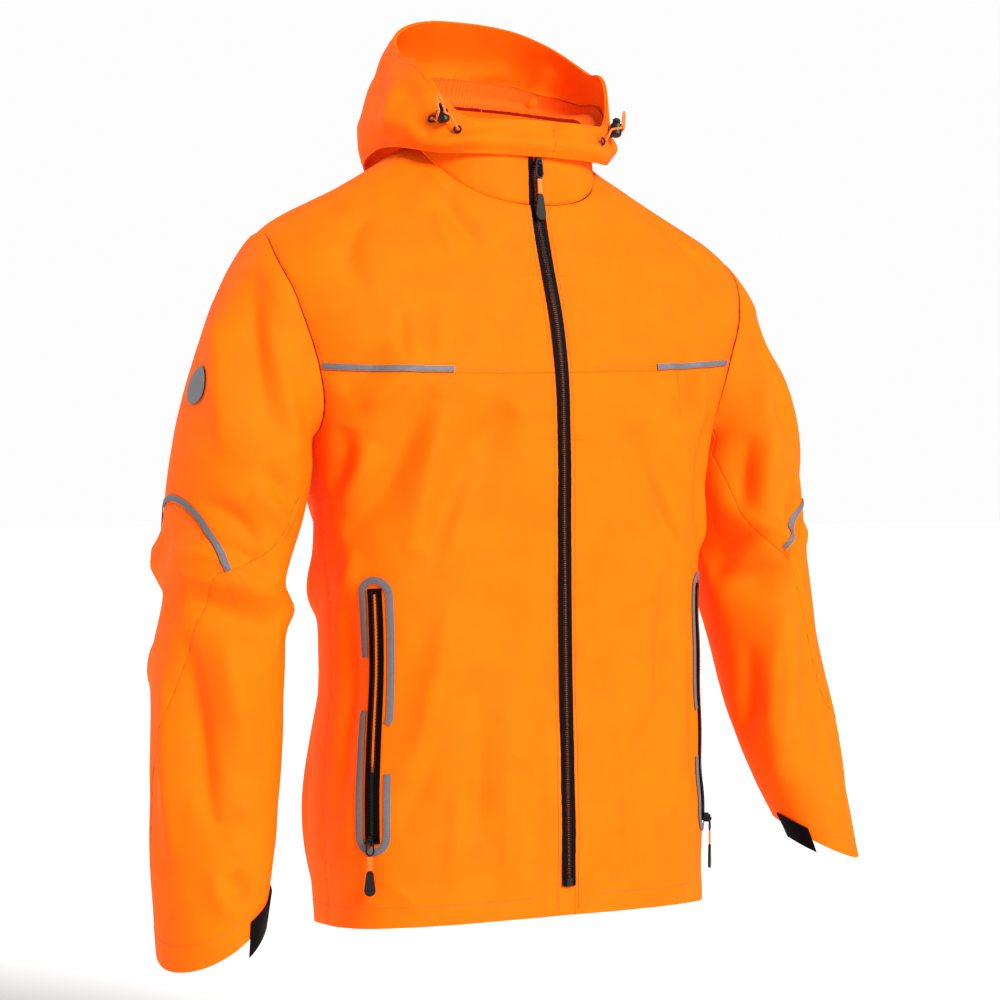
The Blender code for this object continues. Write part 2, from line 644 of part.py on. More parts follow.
def build_zip():
    edge = ZIP_HALF - SEAM_GAP
    half = TAPE_THICK / 2
    strip_down_front("zip_tape_right", ZIP_FOOT, -edge, -COIL_HALF - SEAM_GAP, half, -half, BLACK)
    strip_down_front("zip_tape_left", ZIP_FOOT, COIL_HALF + SEAM_GAP, edge, half, -half, BLACK)
    strip_down_front("zip_coil", ZIP_FOOT, -COIL_HALF, COIL_HALF, ZIP_THICK / 2, -ZIP_THICK / 2, BLACK)
    strip_down_front("wind_flap", BODY_LEVELS[0], -FLAP_HALF, FLAP_HALF, -FLAP_BACK + CLOTH,
                     -FLAP_BACK, ORANGE)


# ---- hardware -----------------------------------------------------------------------
def turned(name, centre, axis, profile, colour, segments=16, ring=False):
    """A solid turned about an axis from (radius, height) pairs; a ring's profile is a closed loop."""
    bm = bmesh.new()
    aside = axis.orthogonal().normalized()
    start = [bm.verts.new(centre + aside * radius + axis * height) for radius, height in profile]
    pairs = zip(start, start[1:] + start[:1]) if ring else zip(start, start[1:])
    edges = [bm.edges.new(pair) for pair in pairs]
    bmesh.ops.spin(bm, geom=start + edges, cent=centre, axis=axis, angle=2 * pi, steps=segments,
                   use_merge=True)
    bmesh.ops.remove_doubles(bm, verts=bm.verts, dist=0.00001)
    return finish_mesh(name, bm, colour, HARD_ROUGHNESS)


def knob_profile(radius, height, round_off):
    """The half section of a rounded drum, from its lower pole to its upper pole."""
    return [(0.0, 0.0), (radius - round_off, 0.0), (radius, round_off), (radius, height - round_off),
            (radius - round_off, height), (0.0, height)]


def plate(name, outline, depth, frame, colour, hole=None, bevel=0.0):
    """A flat piece: an outline in (across, up) pushed through a depth, with an optional hole."""
    origin, across, up, out = frame
    loops = [outline] + ([hole] if hole else [])
    bm = bmesh.new()
    rings = []
    for loop in loops:
        front = [bm.verts.new(origin + across * a + up * b + out * depth / 2) for a, b in loop]
        back = [bm.verts.new(origin + across * a + up * b - out * depth / 2) for a, b in loop]
        rings.append((front, back))
        for i in range(len(loop)):
            j = (i + 1) % len(loop)
            bm.faces.new((front[i], front[j], back[j], back[i]))
    for layer in (0, 1):
        if hole:
            a, b = rings[0][layer], rings[1][layer]
            for i in range(len(a)):
                j = (i + 1) % len(a)
                bm.faces.new((a[i], a[j], b[j], b[i]))
        else:
            bm.faces.new(rings[0][layer])
    if bevel:
        rim = [e for e in bm.edges if len(e.link_faces) == 2 and e.calc_face_angle() > radians(60)]
        bmesh.ops.bevel(bm, geom=rim, offset=bevel, affect="EDGES", segments=1, profile=0.5)
    return finish_mesh(name, bm, colour, HARD_ROUGHNESS)


def stadium(half_width, top, foot, steps=4, narrow=1.0):
    """A long round-ended outline; narrow shrinks its upper end."""
    points = []
    for a in spread(0, 180, steps):
        points.append((half_width * narrow * cos(radians(a)),
                       top - half_width * narrow + half_width * narrow * sin(radians(a))))
    for a in spread(180, 360, steps):
        points.append((half_width * cos(radians(a)), foot + half_width + half_width * sin(radians(a))))
    return points


PULL_MAIN = (0.0200, 0.0150, 0.0265)       # lengths of its loop, strap and grip
PULL_POCKET = (0.0170, 0.0130, 0.0250)
PULL_BAR = 0.0016
PULL_HALF_WIDTH = 0.0047
GRIP_HALF_WIDTH, GRIP_THICK = 0.0056, 0.0026
STRAP_HALF_WIDTH, STRAP_THICK = 0.0024, 0.0018


def build_pull(word, axis_point, out, lengths, lean=0.0):
    """A zip pull that hangs from its slider: wire loop, textile strap and moulded grip."""
    loop, strap, grip = lengths
    pivot = bpy.data.objects.new("pivot_" + word, None)
    pivot.location = axis_point
    bpy.context.scene.collection.objects.link(pivot)
    plumb = Vector((0, 0, 1))
    across = plumb.cross(out).normalized()
    up = plumb * cos(radians(lean)) - out * sin(radians(lean))
    frame = (Vector((0, 0, 0)), across, up, across.cross(up))
    half, bar = PULL_HALF_WIDTH, PULL_BAR
    parts = [plate(word + "_pull_loop", stadium(half, bar / 2, -loop, narrow=0.8), PULL_BAR, frame,
                   BLACK, hole=stadium(half - bar, -bar / 2, -loop + bar, narrow=0.8))]
    top = -loop - SEAM_GAP
    wide = STRAP_HALF_WIDTH
    corners = [(-wide, top), (-wide, top - strap), (wide, top - strap), (wide, top)]
    parts.append(plate(word + "_pull_strap", corners, STRAP_THICK, frame, ORANGE))
    top -= strap + SEAM_GAP
    parts.append(plate(word + "_pull_grip", stadium(GRIP_HALF_WIDTH, top, top - grip, 6, narrow=0.6),
                       GRIP_THICK, frame, BLACK, bevel=0.0006))
    for part in parts:
        part.parent = pivot


SLIDER_LENGTH, SLIDER_DEPTH = 0.0095, 0.0048
CROWN_REACH = 0.0032      # the crown that carries the pull stands off the slider's face
CROWN_FOOT, CROWN_TOP = 0.0022, 0.0050
CROWN_HALF_WIDTH = PULL_HALF_WIDTH - PULL_BAR - 0.0014      # it passes inside the pull's loop


def build_slider(word, foot, out):
    """A slider body with its crown, standing off the tape; foot is the middle of its back face."""
    up = Vector((0, 0, 1))
    across = up.cross(out).normalized()
    bm = bmesh.new()
    front = SLIDER_DEPTH + CROWN_REACH
    profile = [(0.0, 0.0), (SLIDER_DEPTH, 0.0), (SLIDER_DEPTH, CROWN_FOOT), (front, CROWN_FOOT),
               (front, CROWN_TOP - 0.0006), (SLIDER_DEPTH, CROWN_TOP), (SLIDER_DEPTH, SLIDER_LENGTH),
               (0.0, SLIDER_LENGTH)]
    sides = [[bm.verts.new(foot + across * x + out * d + up * h) for d, h in profile]
             for x in (-CROWN_HALF_WIDTH, CROWN_HALF_WIDTH)]
    for i in range(len(profile)):
        j = (i + 1) % len(profile)
        bm.faces.new((sides[0][i], sides[0][j], sides[1][j], sides[1][i]))
    bm.faces.new(sides[0])
    bm.faces.new(sides[1][::-1])
    finish_mesh(word + "_slider", bm, BLACK, HARD_ROUGHNESS)


PULL_CLEAR = 0.0011       # pull's middle plane in front of the slider's face
MAIN_LEAN = 4.0           # the front pull leans out over the neck seam, degrees
SLIDER_GAP, POCKET_SLIDER_GAP = 0.0009, 0.0006     # sliders stand this far off their zips
MAIN_SLIDER_Z = 0.0076
AXIS_DROP = 0.0022        # the pull's axis lies this far below its slider's top


def build_zip_pulls():
    front = Vector((0, -1, 0))
    foot = Vector((0, collar(0.0, 0.8).y - ZIP_THICK / 2 - SLIDER_GAP, MAIN_SLIDER_Z))
    build_slider("zip", foot, front)
    axis = foot + front * (SLIDER_DEPTH + PULL_CLEAR) + Vector((0, 0, SLIDER_LENGTH - AXIS_DROP))
    build_pull("zip", axis, front, PULL_MAIN, MAIN_LEAN)
    for side, word in ((RIGHT, "right"), (LEFT, "left")):
        tree = trees_of(["front_" + word])
        turn, level = pocket_place(side, 0.0, POCKET_FOOT + 0.006)
        out = normal_of(body, turn, level)
        out = Vector((out.x, out.y, 0)).normalized()
        foot = seat(tree, body(turn, level), out) + out * (PROUD + POCKET_BAND_THICK + POCKET_SLIDER_GAP)
        build_slider("pocket_" + word, foot, out)
        axis = foot + out * (SLIDER_DEPTH + PULL_CLEAR) + Vector((0, 0, SLIDER_LENGTH - AXIS_DROP))
        build_pull("pocket_" + word, axis, out, PULL_POCKET)


# ---- hood drawcords -----------------------------------------------------------------
CORD_RADIUS = 0.00125
EYELET_PLACES = ((54.0, 2.3), (37.0, 2.0))      # hood angle and level of each eyelet
STOPPER_PLACE = (50.0, 2.9)
STOPPER_RADIUS, STOPPER_LENGTH = 0.0062, 0.0140
STOPPER_STAND = 0.0088    # stopper's axis in front of the hood
BUTTON_RADIUS, BUTTON_HEIGHT = 0.0042, 0.0050
LOW_PASS, HIGH_PASS = 0.0045, 0.0105    # heights at which the cord meets and leaves its stopper
LOOP_HALF = 0.0030
LOOP_HEIGHT = 0.016
CORD_STAND = 0.0018       # the cord's underside over the eyelet's seat
# half section of an eyelet: radius, height
EYELET_PROFILE = ((0.0023, 0.0), (0.0046, 0.0), (0.0046, 0.0006), (0.0036, 0.0014), (0.0023, 0.0010))
LOOP_STEPS = 12


def cord(name, points):
    """A cord through points, as a tube."""
    curve = bpy.data.curves.new(name, "CURVE")
    curve.dimensions = "3D"
    curve.bevel_depth = CORD_RADIUS
    curve.bevel_resolution = 2
    curve.use_fill_caps = True
    line = curve.splines.new("POLY")
    line.points.add(len(points) - 1)
    for place, p in zip(line.points, points):
        place.co = (*p, 1.0)
    obj = bpy.data.objects.new(name, curve)
    bpy.context.scene.collection.objects.link(obj)
    return dress(obj, ORANGE, 0.7)


def build_drawcords():
    for side, word in ((RIGHT, "right"), (LEFT, "left")):
        tree = trees_of(["hood_" + word])
        bases = []
        for number, (turn, level) in enumerate(EYELET_PLACES, 1):
            n = normal_of(hood, side * turn, level)
            base = seat(tree, hood(side * turn, level), n)
            turned("eyelet_" + word + "_" + str(number), base + n * PROUD, n,
                   EYELET_PROFILE, BLACK, segments=14, ring=True)
            bases.append(base + n * (PROUD + CORD_STAND + CORD_RADIUS))
        n = normal_of(hood, side * STOPPER_PLACE[0], STOPPER_PLACE[1])
        flat = Vector((n.x, n.y, 0)).normalized()
        along = Vector((0, 0, 1)).cross(flat).normalized()
        if (bases[1] - bases[0]).dot(along) < 0:
            along = -along
        middle = seat(tree, hood(side * STOPPER_PLACE[0], STOPPER_PLACE[1]), n) + flat * STOPPER_STAND
        lean = (Vector((0, 0, 1)) - along * 0.25).normalized()
        foot = middle - lean * (STOPPER_LENGTH / 2)
        turned("stopper_" + word, foot, lean, knob_profile(STOPPER_RADIUS, STOPPER_LENGTH, 0.0016), BLACK,
               segments=14)
        turned("stopper_button_" + word, foot + lean * (STOPPER_LENGTH + SEAM_GAP), lean,
               knob_profile(BUTTON_RADIUS, BUTTON_HEIGHT, 0.0012), BLACK, segments=12)
        reach = STOPPER_RADIUS + SEAM_GAP + CORD_RADIUS
        low = foot + lean * LOW_PASS
        for number, base in enumerate(bases, 1):
            away = base - low
            away = (away - lean * away.dot(lean)).normalized()
            cord("drawcord_" + word + "_" + str(number), [base, (base + low + away * reach) / 2,
                                                          low + away * reach])
        high = foot + lean * HIGH_PASS + flat * reach
        turns = spread(0.0, pi, LOOP_STEPS)
        loop = [high - along * (LOOP_HALF * cos(t)) + lean * (LOOP_HEIGHT * sin(t)) for t in turns]
        cord("drawcord_" + word + "_loop", loop)


# ---- cuff tabs ----------------------------------------------------------------------
# angles round each sleeve between which its cuff tab lies
TAB_TURNS = {RIGHT: (-76.0, -14.0), LEFT: (-88.0, -44.0)}
TAB_THICK = 0.0018
TAB_SHARES = (0.972, 1.026)
TAB_MOVE = 0.0027


def build_cuff_tabs():
    for side, word, table in ((RIGHT, "right", SLEEVE_RIGHT), (LEFT, "left", SLEEVE_LEFT)):
        turns, shares = spread(*TAB_TURNS[side], 6), spread(*TAB_SHARES, 2)
        cloth_piece("cuff_tab_" + word, sleeve(table, side), [[(a, b) for a in turns] for b in shares],
                    colour=BLACK, thickness=TAB_THICK, move=TAB_MOVE, side=-side)


def main():
    clear_scene()
    build_body()
    build_sleeves()
    build_hood()
    build_trims()
    build_zip()
    build_zip_pulls()
    build_drawcords()
    build_cuff_tabs()


main()
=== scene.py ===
"""Looks of a hi-vis hooded work jacket: cloth shells with folds, trims, zips, cords and studio."""
import json
import logging
from dataclasses import dataclass, field
from enum import Enum
from math import cos, pi, radians, sin
from typing import Callable, Sequence

import bmesh
import bpy
import numpy as np
from mathutils import Matrix, Vector

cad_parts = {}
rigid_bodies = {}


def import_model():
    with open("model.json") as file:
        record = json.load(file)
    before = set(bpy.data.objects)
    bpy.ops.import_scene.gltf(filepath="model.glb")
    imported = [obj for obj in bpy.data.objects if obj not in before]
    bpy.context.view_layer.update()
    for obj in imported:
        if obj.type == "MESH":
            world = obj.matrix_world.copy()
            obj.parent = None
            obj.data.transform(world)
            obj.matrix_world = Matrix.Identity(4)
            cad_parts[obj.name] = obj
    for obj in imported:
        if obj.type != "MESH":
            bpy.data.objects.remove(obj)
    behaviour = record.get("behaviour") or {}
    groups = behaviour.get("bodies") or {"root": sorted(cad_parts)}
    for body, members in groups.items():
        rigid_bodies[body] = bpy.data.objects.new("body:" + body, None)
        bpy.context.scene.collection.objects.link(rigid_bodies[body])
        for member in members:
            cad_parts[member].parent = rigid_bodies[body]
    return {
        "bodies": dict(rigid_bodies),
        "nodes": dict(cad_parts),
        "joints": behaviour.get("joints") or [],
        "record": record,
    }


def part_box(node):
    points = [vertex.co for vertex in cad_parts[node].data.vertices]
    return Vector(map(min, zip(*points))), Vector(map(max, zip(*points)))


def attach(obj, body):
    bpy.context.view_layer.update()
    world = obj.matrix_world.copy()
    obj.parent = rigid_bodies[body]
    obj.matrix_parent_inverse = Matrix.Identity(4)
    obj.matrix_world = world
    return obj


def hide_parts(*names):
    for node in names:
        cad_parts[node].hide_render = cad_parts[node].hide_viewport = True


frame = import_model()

log = logging.getLogger("jacket")
Array = np.ndarray
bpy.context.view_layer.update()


class Side(Enum):
    """The wearer's two sides, with the sign of their X."""

    RIGHT = -1
    LEFT = 1

    @property
    def word(self) -> str:
        """The side's name as node names spell it."""
        return self.name.lower()


class Slot(Enum):
    """Material slots of the record."""

    SHELL = "shell_cloth"
    MESH = "mesh_lining"
    TAPE = "reflective_tape"
    ZIP = "zip_tape"
    TAB = "cuff_tab"
    PLASTIC = "black_plastic"
    CORD = "orange_cord"


# ---- finishes -----------------------------------------------------------------------
def linear(hex_colour: str) -> tuple[float, float, float, float]:
    """Turn an sRGB hex colour into linear values.

    Args:
        hex_colour: Six hex digits with a leading #.
    Returns:
        Linear red, green, blue and an alpha of 1.
    """
    parts = [int(hex_colour[i:i + 2], 16) / 255 for i in (1, 3, 5)]
    flat = [c / 12.92 if c <= 0.04045 else ((c + 0.055) / 1.055) ** 2.4 for c in parts]
    return (flat[0], flat[1], flat[2], 1.0)


def add_node(tree: bpy.types.NodeTree, kind: str, values: dict | None = None,
             settings: dict | None = None, links: dict | None = None) -> bpy.types.Node:
    """Add one shader node.

    Args:
        tree: Tree that receives the node.
        kind: Node type name without its ShaderNode prefix.
        values: Input values by socket name or index.
        settings: Node properties by name.
        links: Source sockets by input name or index.
    Returns:
        The new node.
    """
    node = tree.nodes.new("ShaderNode" + kind)
    for key, value in (settings or {}).items():
        setattr(node, key, value)
    for key, value in (values or {}).items():
        node.inputs[key].default_value = value
    for key, source in (links or {}).items():
        tree.links.new(source, node.inputs[key])
    return node


def new_material(name: str) -> tuple[bpy.types.Material, bpy.types.NodeTree, bpy.types.Node]:
    """Start a material with only its Principled shader.

    Args:
        name: Name of the real material.
    Returns:
        The material, its node tree and its shader.
    """
    material = bpy.data.materials.new(name)
    material.use_nodes = True
    return material, material.node_tree, material.node_tree.nodes["Principled BSDF"]


def ramp_between(tree: bpy.types.NodeTree, source: bpy.types.NodeSocket, low: str, high: str,
                 start: float = 0.35, end: float = 0.65) -> bpy.types.NodeSocket:
    """Colour a pattern between two hex colours.

    Args:
        tree: Material's node tree.
        source: Pattern value.
        low: Colour where the pattern is low.
        high: Colour where it is high.
        start: Pattern value of the low colour.
        end: Pattern value of the high colour.
    Returns:
        The colour socket.
    """
    node = add_node(tree, "ValToRGB", links={"Fac": source})
    first, last = node.color_ramp.elements
    first.position, first.color = start, linear(low)
    last.position, last.color = end, linear(high)
    return node.outputs["Color"]


@dataclass(frozen=True)
class ShellCloth:
    """Bonded polyester shell: fluorescent dye, matt face of fine plain weave, faint handling marks."""

    low: str = "#FB5F00"
    high: str = "#FC6300"
    thread: float = 0.0011      # real threads are 0.3 mm; drawn coarser so that they show
    mottle: float = 0.030

    def build(self) -> bpy.types.Material:
        """Make the material."""
        material, tree, shader = new_material("bonded_polyester_shell")
        uv = add_node(tree, "UVMap", settings={"uv_map": "cut"}).outputs["UV"]
        place = add_node(tree, "TexCoord").outputs["Object"]
        cloud = add_node(tree, "TexNoise", {"Scale": 1 / self.mottle, "Detail": 3.0}, links={"Vector": place})
        colour = ramp_between(tree, cloud.outputs["Fac"], self.low, self.high)
        tree.links.new(colour, shader.inputs["Base Color"])
        across = add_node(tree, "TexWave", {"Scale": 0.314 / self.thread, "Distortion": 0.6},
                          {"bands_direction": "X"}, {"Vector": uv})
        along = add_node(tree, "TexWave", {"Scale": 0.314 / self.thread, "Distortion": 0.6},
                         {"bands_direction": "Y"}, {"Vector": uv})
        weave = add_node(tree, "Math", settings={"operation": "MULTIPLY"},
                         links={0: across.outputs["Fac"], 1: along.outputs["Fac"]})
        soft = add_node(tree, "TexNoise", {"Scale": 90.0, "Detail": 2.0}, links={"Vector": place})
        thread_bump = add_node(tree, "Bump", {"Strength": 0.18, "Distance": 0.0002},
                               links={"Height": weave.outputs["Value"]})
        bump = add_node(tree, "Bump", {"Strength": 0.10, "Distance": 0.0010},
                        links={"Height": soft.outputs["Fac"], "Normal": thread_bump.outputs["Normal"]})
        tree.links.new(bump.outputs["Normal"], shader.inputs["Normal"])
        shader.inputs["Roughness"].default_value = 0.78
        shader.inputs["IOR"].default_value = 1.5
        shader.inputs["Specular IOR Level"].default_value = 0.08
        shader.inputs["Sheen Weight"].default_value = 0.03
        shader.inputs["Sheen Roughness"].default_value = 0.5
        shader.inputs["Sheen Tint"].default_value = linear("#FF8000")
        return material


@dataclass(frozen=True)
class MeshLining:
    """Warp-knit lining mesh: rows of small holes in orange thread, the holes darkened as painted shade of the
    cloth seen through them.
    """

    thread_colour: str = "#F45E00"
    # painted shade: the holes are coloured darker orange, as the shaded cloth behind them
    hole_shade_colour: str = "#C84800"
    pitch: float = 0.0026       # hole spacing of sports mesh

    def build(self) -> bpy.types.Material:
        """Make the material."""
        material, tree, shader = new_material("warp_knit_mesh")
        uv = add_node(tree, "UVMap", settings={"uv_map": "cut"}).outputs["UV"]
        cells = add_node(tree, "TexVoronoi", {"Scale": 1 / self.pitch, "Randomness": 0.12},
                         links={"Vector": uv})
        # the hole cells get the painted shade colour, the threads their own orange
        colour = ramp_between(tree, cells.outputs["Distance"], self.hole_shade_colour,
                              self.thread_colour, 0.22, 0.38)
        tree.links.new(colour, shader.inputs["Base Color"])
        bump = add_node(tree, "Bump", {"Strength": 0.5, "Distance": 0.0005},
                        links={"Height": cells.outputs["Distance"]})
        tree.links.new(bump.outputs["Normal"], shader.inputs["Normal"])
        shader.inputs["Roughness"].default_value = 0.85
        shader.inputs["Specular IOR Level"].default_value = 0.2
        return material


@dataclass(frozen=True)
class ReflectiveTape:
    """Glass-bead reflective tape: dull silver grey with fine bead grain."""

    low: str = "#56565A"
    high: str = "#66666A"
    bead: float = 0.0009        # beads are 0.06 mm; drawn coarser so that they show

    def build(self) -> bpy.types.Material:
        """Make the material."""
        material, tree, shader = new_material("glass_bead_tape")
        place = add_node(tree, "TexCoord").outputs["Object"]
        grain = add_node(tree, "TexNoise", {"Scale": 1 / self.bead, "Detail": 2.0}, links={"Vector": place})
        colour = ramp_between(tree, grain.outputs["Fac"], self.low, self.high)
        tree.links.new(colour, shader.inputs["Base Color"])
        bump = add_node(tree, "Bump", {"Strength": 0.2, "Distance": 0.0002},
                        links={"Height": grain.outputs["Fac"]})
        tree.links.new(bump.outputs["Normal"], shader.inputs["Normal"])
        shader.inputs["Roughness"].default_value = 0.62
        shader.inputs["Metallic"].default_value = 0.1
        shader.inputs["Specular IOR Level"].default_value = 0.25
        return material


@dataclass(frozen=True)
class ZipTape:
    """Coated zip tape: black woven polyester with a faint satin film."""

    colour: str = "#010101"
    high: str = "#030303"
    rib: float = 0.0012

    def build(self) -> bpy.types.Material:
        """Make the material."""
        material, tree, shader = new_material("coated_zip_tape")
        place = add_node(tree, "TexCoord").outputs["Object"]
        ribs = add_node(tree, "TexWave", {"Scale": 0.314 / self.rib}, {"bands_direction": "Z"},
                        {"Vector": place})
        colour = ramp_between(tree, ribs.outputs["Fac"], self.colour, self.high, 0.2, 0.8)
        tree.links.new(colour, shader.inputs["Base Color"])
        bump = add_node(tree, "Bump", {"Strength": 0.25, "Distance": 0.0002},
                        links={"Height": ribs.outputs["Fac"]})
        tree.links.new(bump.outputs["Normal"], shader.inputs["Normal"])
        shader.inputs["Roughness"].default_value = 0.6
        shader.inputs["Specular IOR Level"].default_value = 0.06
        return material


@dataclass(frozen=True)
class MouldedPlastic:
    """Injection-moulded acetal: near black, spark-eroded satin skin."""

    colour: str = "#040404"
    high: str = "#080808"
    grain: float = 0.0008

    def build(self) -> bpy.types.Material:
        """Make the material."""
        material, tree, shader = new_material("moulded_acetal")
        place = add_node(tree, "TexCoord").outputs["Object"]
        grain = add_node(tree, "TexNoise", {"Scale": 1 / self.grain, "Detail": 2.0}, links={"Vector": place})
        colour = ramp_between(tree, grain.outputs["Fac"], self.colour, self.high)
        tree.links.new(colour, shader.inputs["Base Color"])
        bump = add_node(tree, "Bump", {"Strength": 0.15, "Distance": 0.0001},
                        links={"Height": grain.outputs["Fac"]})
        tree.links.new(bump.outputs["Normal"], shader.inputs["Normal"])
        shader.inputs["Roughness"].default_value = 0.42
        shader.inputs["Specular IOR Level"].default_value = 0.3
        return material


@dataclass(frozen=True)
class BraidedCord:
    """Braided polyester cord: orange strands, with the gaps along the braid darkened as painted shade."""

    # painted shade: the colour of the gaps between strands
    low: str = "#C24A05"
    high: str = "#FF7A1C"
    strand: float = 0.0012

    def build(self) -> bpy.types.Material:
        """Make the material."""
        material, tree, shader = new_material("braided_polyester_cord")
        place = add_node(tree, "TexCoord").outputs["Object"]
        strands = add_node(tree, "TexWave", {"Scale": 0.314 / self.strand, "Distortion": 1.5},
                           {"bands_direction": "DIAGONAL"}, {"Vector": place})
        # the wave's low bands are the gaps, darkened as painted shade
        colour = ramp_between(tree, strands.outputs["Fac"], self.low, self.high, 0.1, 0.6)
        tree.links.new(colour, shader.inputs["Base Color"])
        bump = add_node(tree, "Bump", {"Strength": 0.5, "Distance": 0.0002},
                        links={"Height": strands.outputs["Fac"]})
        tree.links.new(bump.outputs["Normal"], shader.inputs["Normal"])
        shader.inputs["Roughness"].default_value = 0.7
        return material


@dataclass(frozen=True)
class StitchThread:
    """Spun polyester sewing thread: a shade deeper than the cloth, so that the rows read."""

    low: str = "#C84600"
    high: str = "#E85A00"

    def build(self) -> bpy.types.Material:
        """Make the material."""
        material, tree, shader = new_material("sewing_thread")
        place = add_node(tree, "TexCoord").outputs["Object"]
        twist = add_node(tree, "TexNoise", {"Scale": 700.0}, links={"Vector": place})
        colour = ramp_between(tree, twist.outputs["Fac"], self.low, self.high)
        tree.links.new(colour, shader.inputs["Base Color"])
        shader.inputs["Roughness"].default_value = 0.6
        return material


@dataclass
class Wardrobe:
    """Every finish, built once."""

    shell: bpy.types.Material = field(default_factory=lambda: ShellCloth().build())
    mesh: bpy.types.Material = field(default_factory=lambda: MeshLining().build())
    tape: bpy.types.Material = field(default_factory=lambda: ReflectiveTape().build())
    zip: bpy.types.Material = field(default_factory=lambda: ZipTape().build())
    plastic: bpy.types.Material = field(default_factory=lambda: MouldedPlastic().build())
    cord: bpy.types.Material = field(default_factory=lambda: BraidedCord().build())
    thread: bpy.types.Material = field(default_factory=lambda: StitchThread().build())


# ---- forms --------------------------------------------------------------------------
def soft_step(value: Array) -> Array:
    """A smooth rise from 0 to 1."""
    value = np.clip(value, 0.0, 1.0)
    return value * value * (3 - 2 * value)


def unit(vectors: Array) -> Array:
    """Vectors of length 1, along the last axis."""
    return vectors / np.maximum(np.linalg.norm(vectors, axis=-1, keepdims=True), 1e-12)


@dataclass(frozen=True)
class Table:
    """Rows of sizes, read between rows by a smooth curve."""

    rows: tuple[tuple[float, ...], ...]

    def read(self, place: Array) -> list[Array]:
        """Read every column.

        Args:
            place: Row places, whole numbers on the rows.
        Returns:
            One array of values for each column.
        """
        rows = np.array(self.rows)
        last = len(rows) - 1
        place = np.asarray(place, dtype=float)
        start = np.clip(np.floor(place).astype(int), 0, last - 1)
        share = (place - start)[..., None]
        before, here = rows[np.maximum(start - 1, 0)], rows[start]
        there, after = rows[start + 1], rows[np.minimum(start + 2, last)]
        rise = there - here
        slope_in = np.where((start > 0)[..., None], (there - before) / 2, rise)
        slope_out = np.where((start + 2 <= last)[..., None], (after - here) / 2, rise)
        curve = here + share * (slope_in + share * (3 * rise - 2 * slope_in - slope_out
                                                    + share * (slope_in + slope_out - 2 * rise)))
        return [curve[..., i] for i in range(rows.shape[1])]


@dataclass(frozen=True)
class RingForm:
    """A surface through level rings: squared ovals with heights at front, side and back.

    Columns of the table: z_front, z_side, z_back, half_width, y_front, y_side, y_back.
    """

    table: Table
    squareness: float = 2.6
    flat_front: float = 0.0
    lean: float = 0.0
    tilt: float = 0.0           # rise across the width round one level, as the arms hang unevenly
    tilt_level: float = 5.0
    tilt_reach: float = 0.8

    def ring_point(self, ring: Sequence[Array], turn: Array) -> Array:
        """Place points on rings, turn in degrees from the front, negative on the right."""
        z_front, z_side, z_back, half_width, y_front, y_side, y_back = ring
        turn = (np.asarray(turn, dtype=float) + 180.0) % 360.0 - 180.0
        across, along = np.sin(np.radians(turn)), np.cos(np.radians(turn))
        power = 2 / self.squareness
        x = half_width * np.abs(across) ** power * np.sign(across)
        share = np.abs(along) ** power
        if self.flat_front:
            level = 1 - soft_step((np.abs(turn) - self.flat_front) / (90 - self.flat_front))
        else:
            level = np.abs(along)
        front = along > 0
        y = np.where(front, y_side + (y_front - y_side) * share, y_side + (y_back - y_side) * share)
        z = np.where(front, z_side + (z_front - z_side) * level, z_side + (z_back - z_side) * np.abs(along))
        return np.stack([x, y, z], axis=-1)

    def point(self, turn: Array, level: Array) -> Array:
        """Place points at an angle and a ring level."""
        turn, level = np.broadcast_arrays(np.asarray(turn, float), np.asarray(level, float))
        place = self.ring_point(self.table.read(level), turn)
        near = np.exp(-((level - self.tilt_level) / self.tilt_reach) ** 2)
        place[..., 2] += self.tilt * place[..., 0] * near
        place[..., 0] += self.lean * np.maximum(level / 4, 0.0) ** 2
        return place

    def turn_at(self, level: Array, x: Array) -> Array:
        """The angle at which a ring's front half lies x to the side."""
        half_width = self.table.read(level)[3]
        share = np.minimum(np.abs(x) / half_width, 1.0) ** (self.squareness / 2)
        return np.degrees(np.arcsin(share)) * np.sign(x)


BODY = RingForm(Table((
    (-0.742, -0.752, -0.760, 0.208, -0.118, 0.000, 0.122),   # hem
    (-0.640, -0.642, -0.645, 0.213, -0.116, 0.000, 0.120),   # hip
    (-0.490, -0.490, -0.490, 0.206, -0.111, 0.000, 0.114),   # waist
    (-0.385, -0.385, -0.385, 0.211, -0.109, 0.000, 0.116),   # under the armhole
    (-0.270, -0.264, -0.270, 0.228, -0.108, 0.000, 0.122),   # armpit
    (-0.203, -0.190, -0.190, 0.255, -0.104, 0.004, 0.126),   # yoke seam
    (-0.148, -0.124, -0.134, 0.276, -0.093, 0.012, 0.126),   # chest
    (-0.104, -0.066, -0.078, 0.268, -0.078, 0.030, 0.120),   # shoulder tip
    (-0.064, -0.012, -0.014, 0.175, -0.063, 0.030, 0.112),   # mid shoulder
    (-0.032, 0.030, 0.040, 0.098, -0.053, 0.024, 0.098),     # neck seam
)), tilt=0.036)
HOOD = RingForm(Table((
    (0.018, 0.030, 0.002, 0.124, -0.053, 0.050, 0.154),      # lower edge
    (0.030, 0.048, 0.036, 0.130, -0.055, 0.050, 0.160),      # skirt
    (0.041, 0.074, 0.090, 0.126, -0.055, 0.048, 0.158),      # belly
    (0.049, 0.100, 0.142, 0.119, -0.054, 0.042, 0.142),      # shoulder of the hood
    (0.056, 0.122, 0.180, 0.111, -0.051, 0.034, 0.114),      # rim
)), flat_front=38.0, lean=0.009)
COLLAR = RingForm(Table((
    (-0.0305, 0.0315, 0.0415, 0.0975, -0.0528, 0.024, 0.0975),
    (0.0175, 0.068, 0.082, 0.094, -0.0500, 0.026, 0.088),
)))
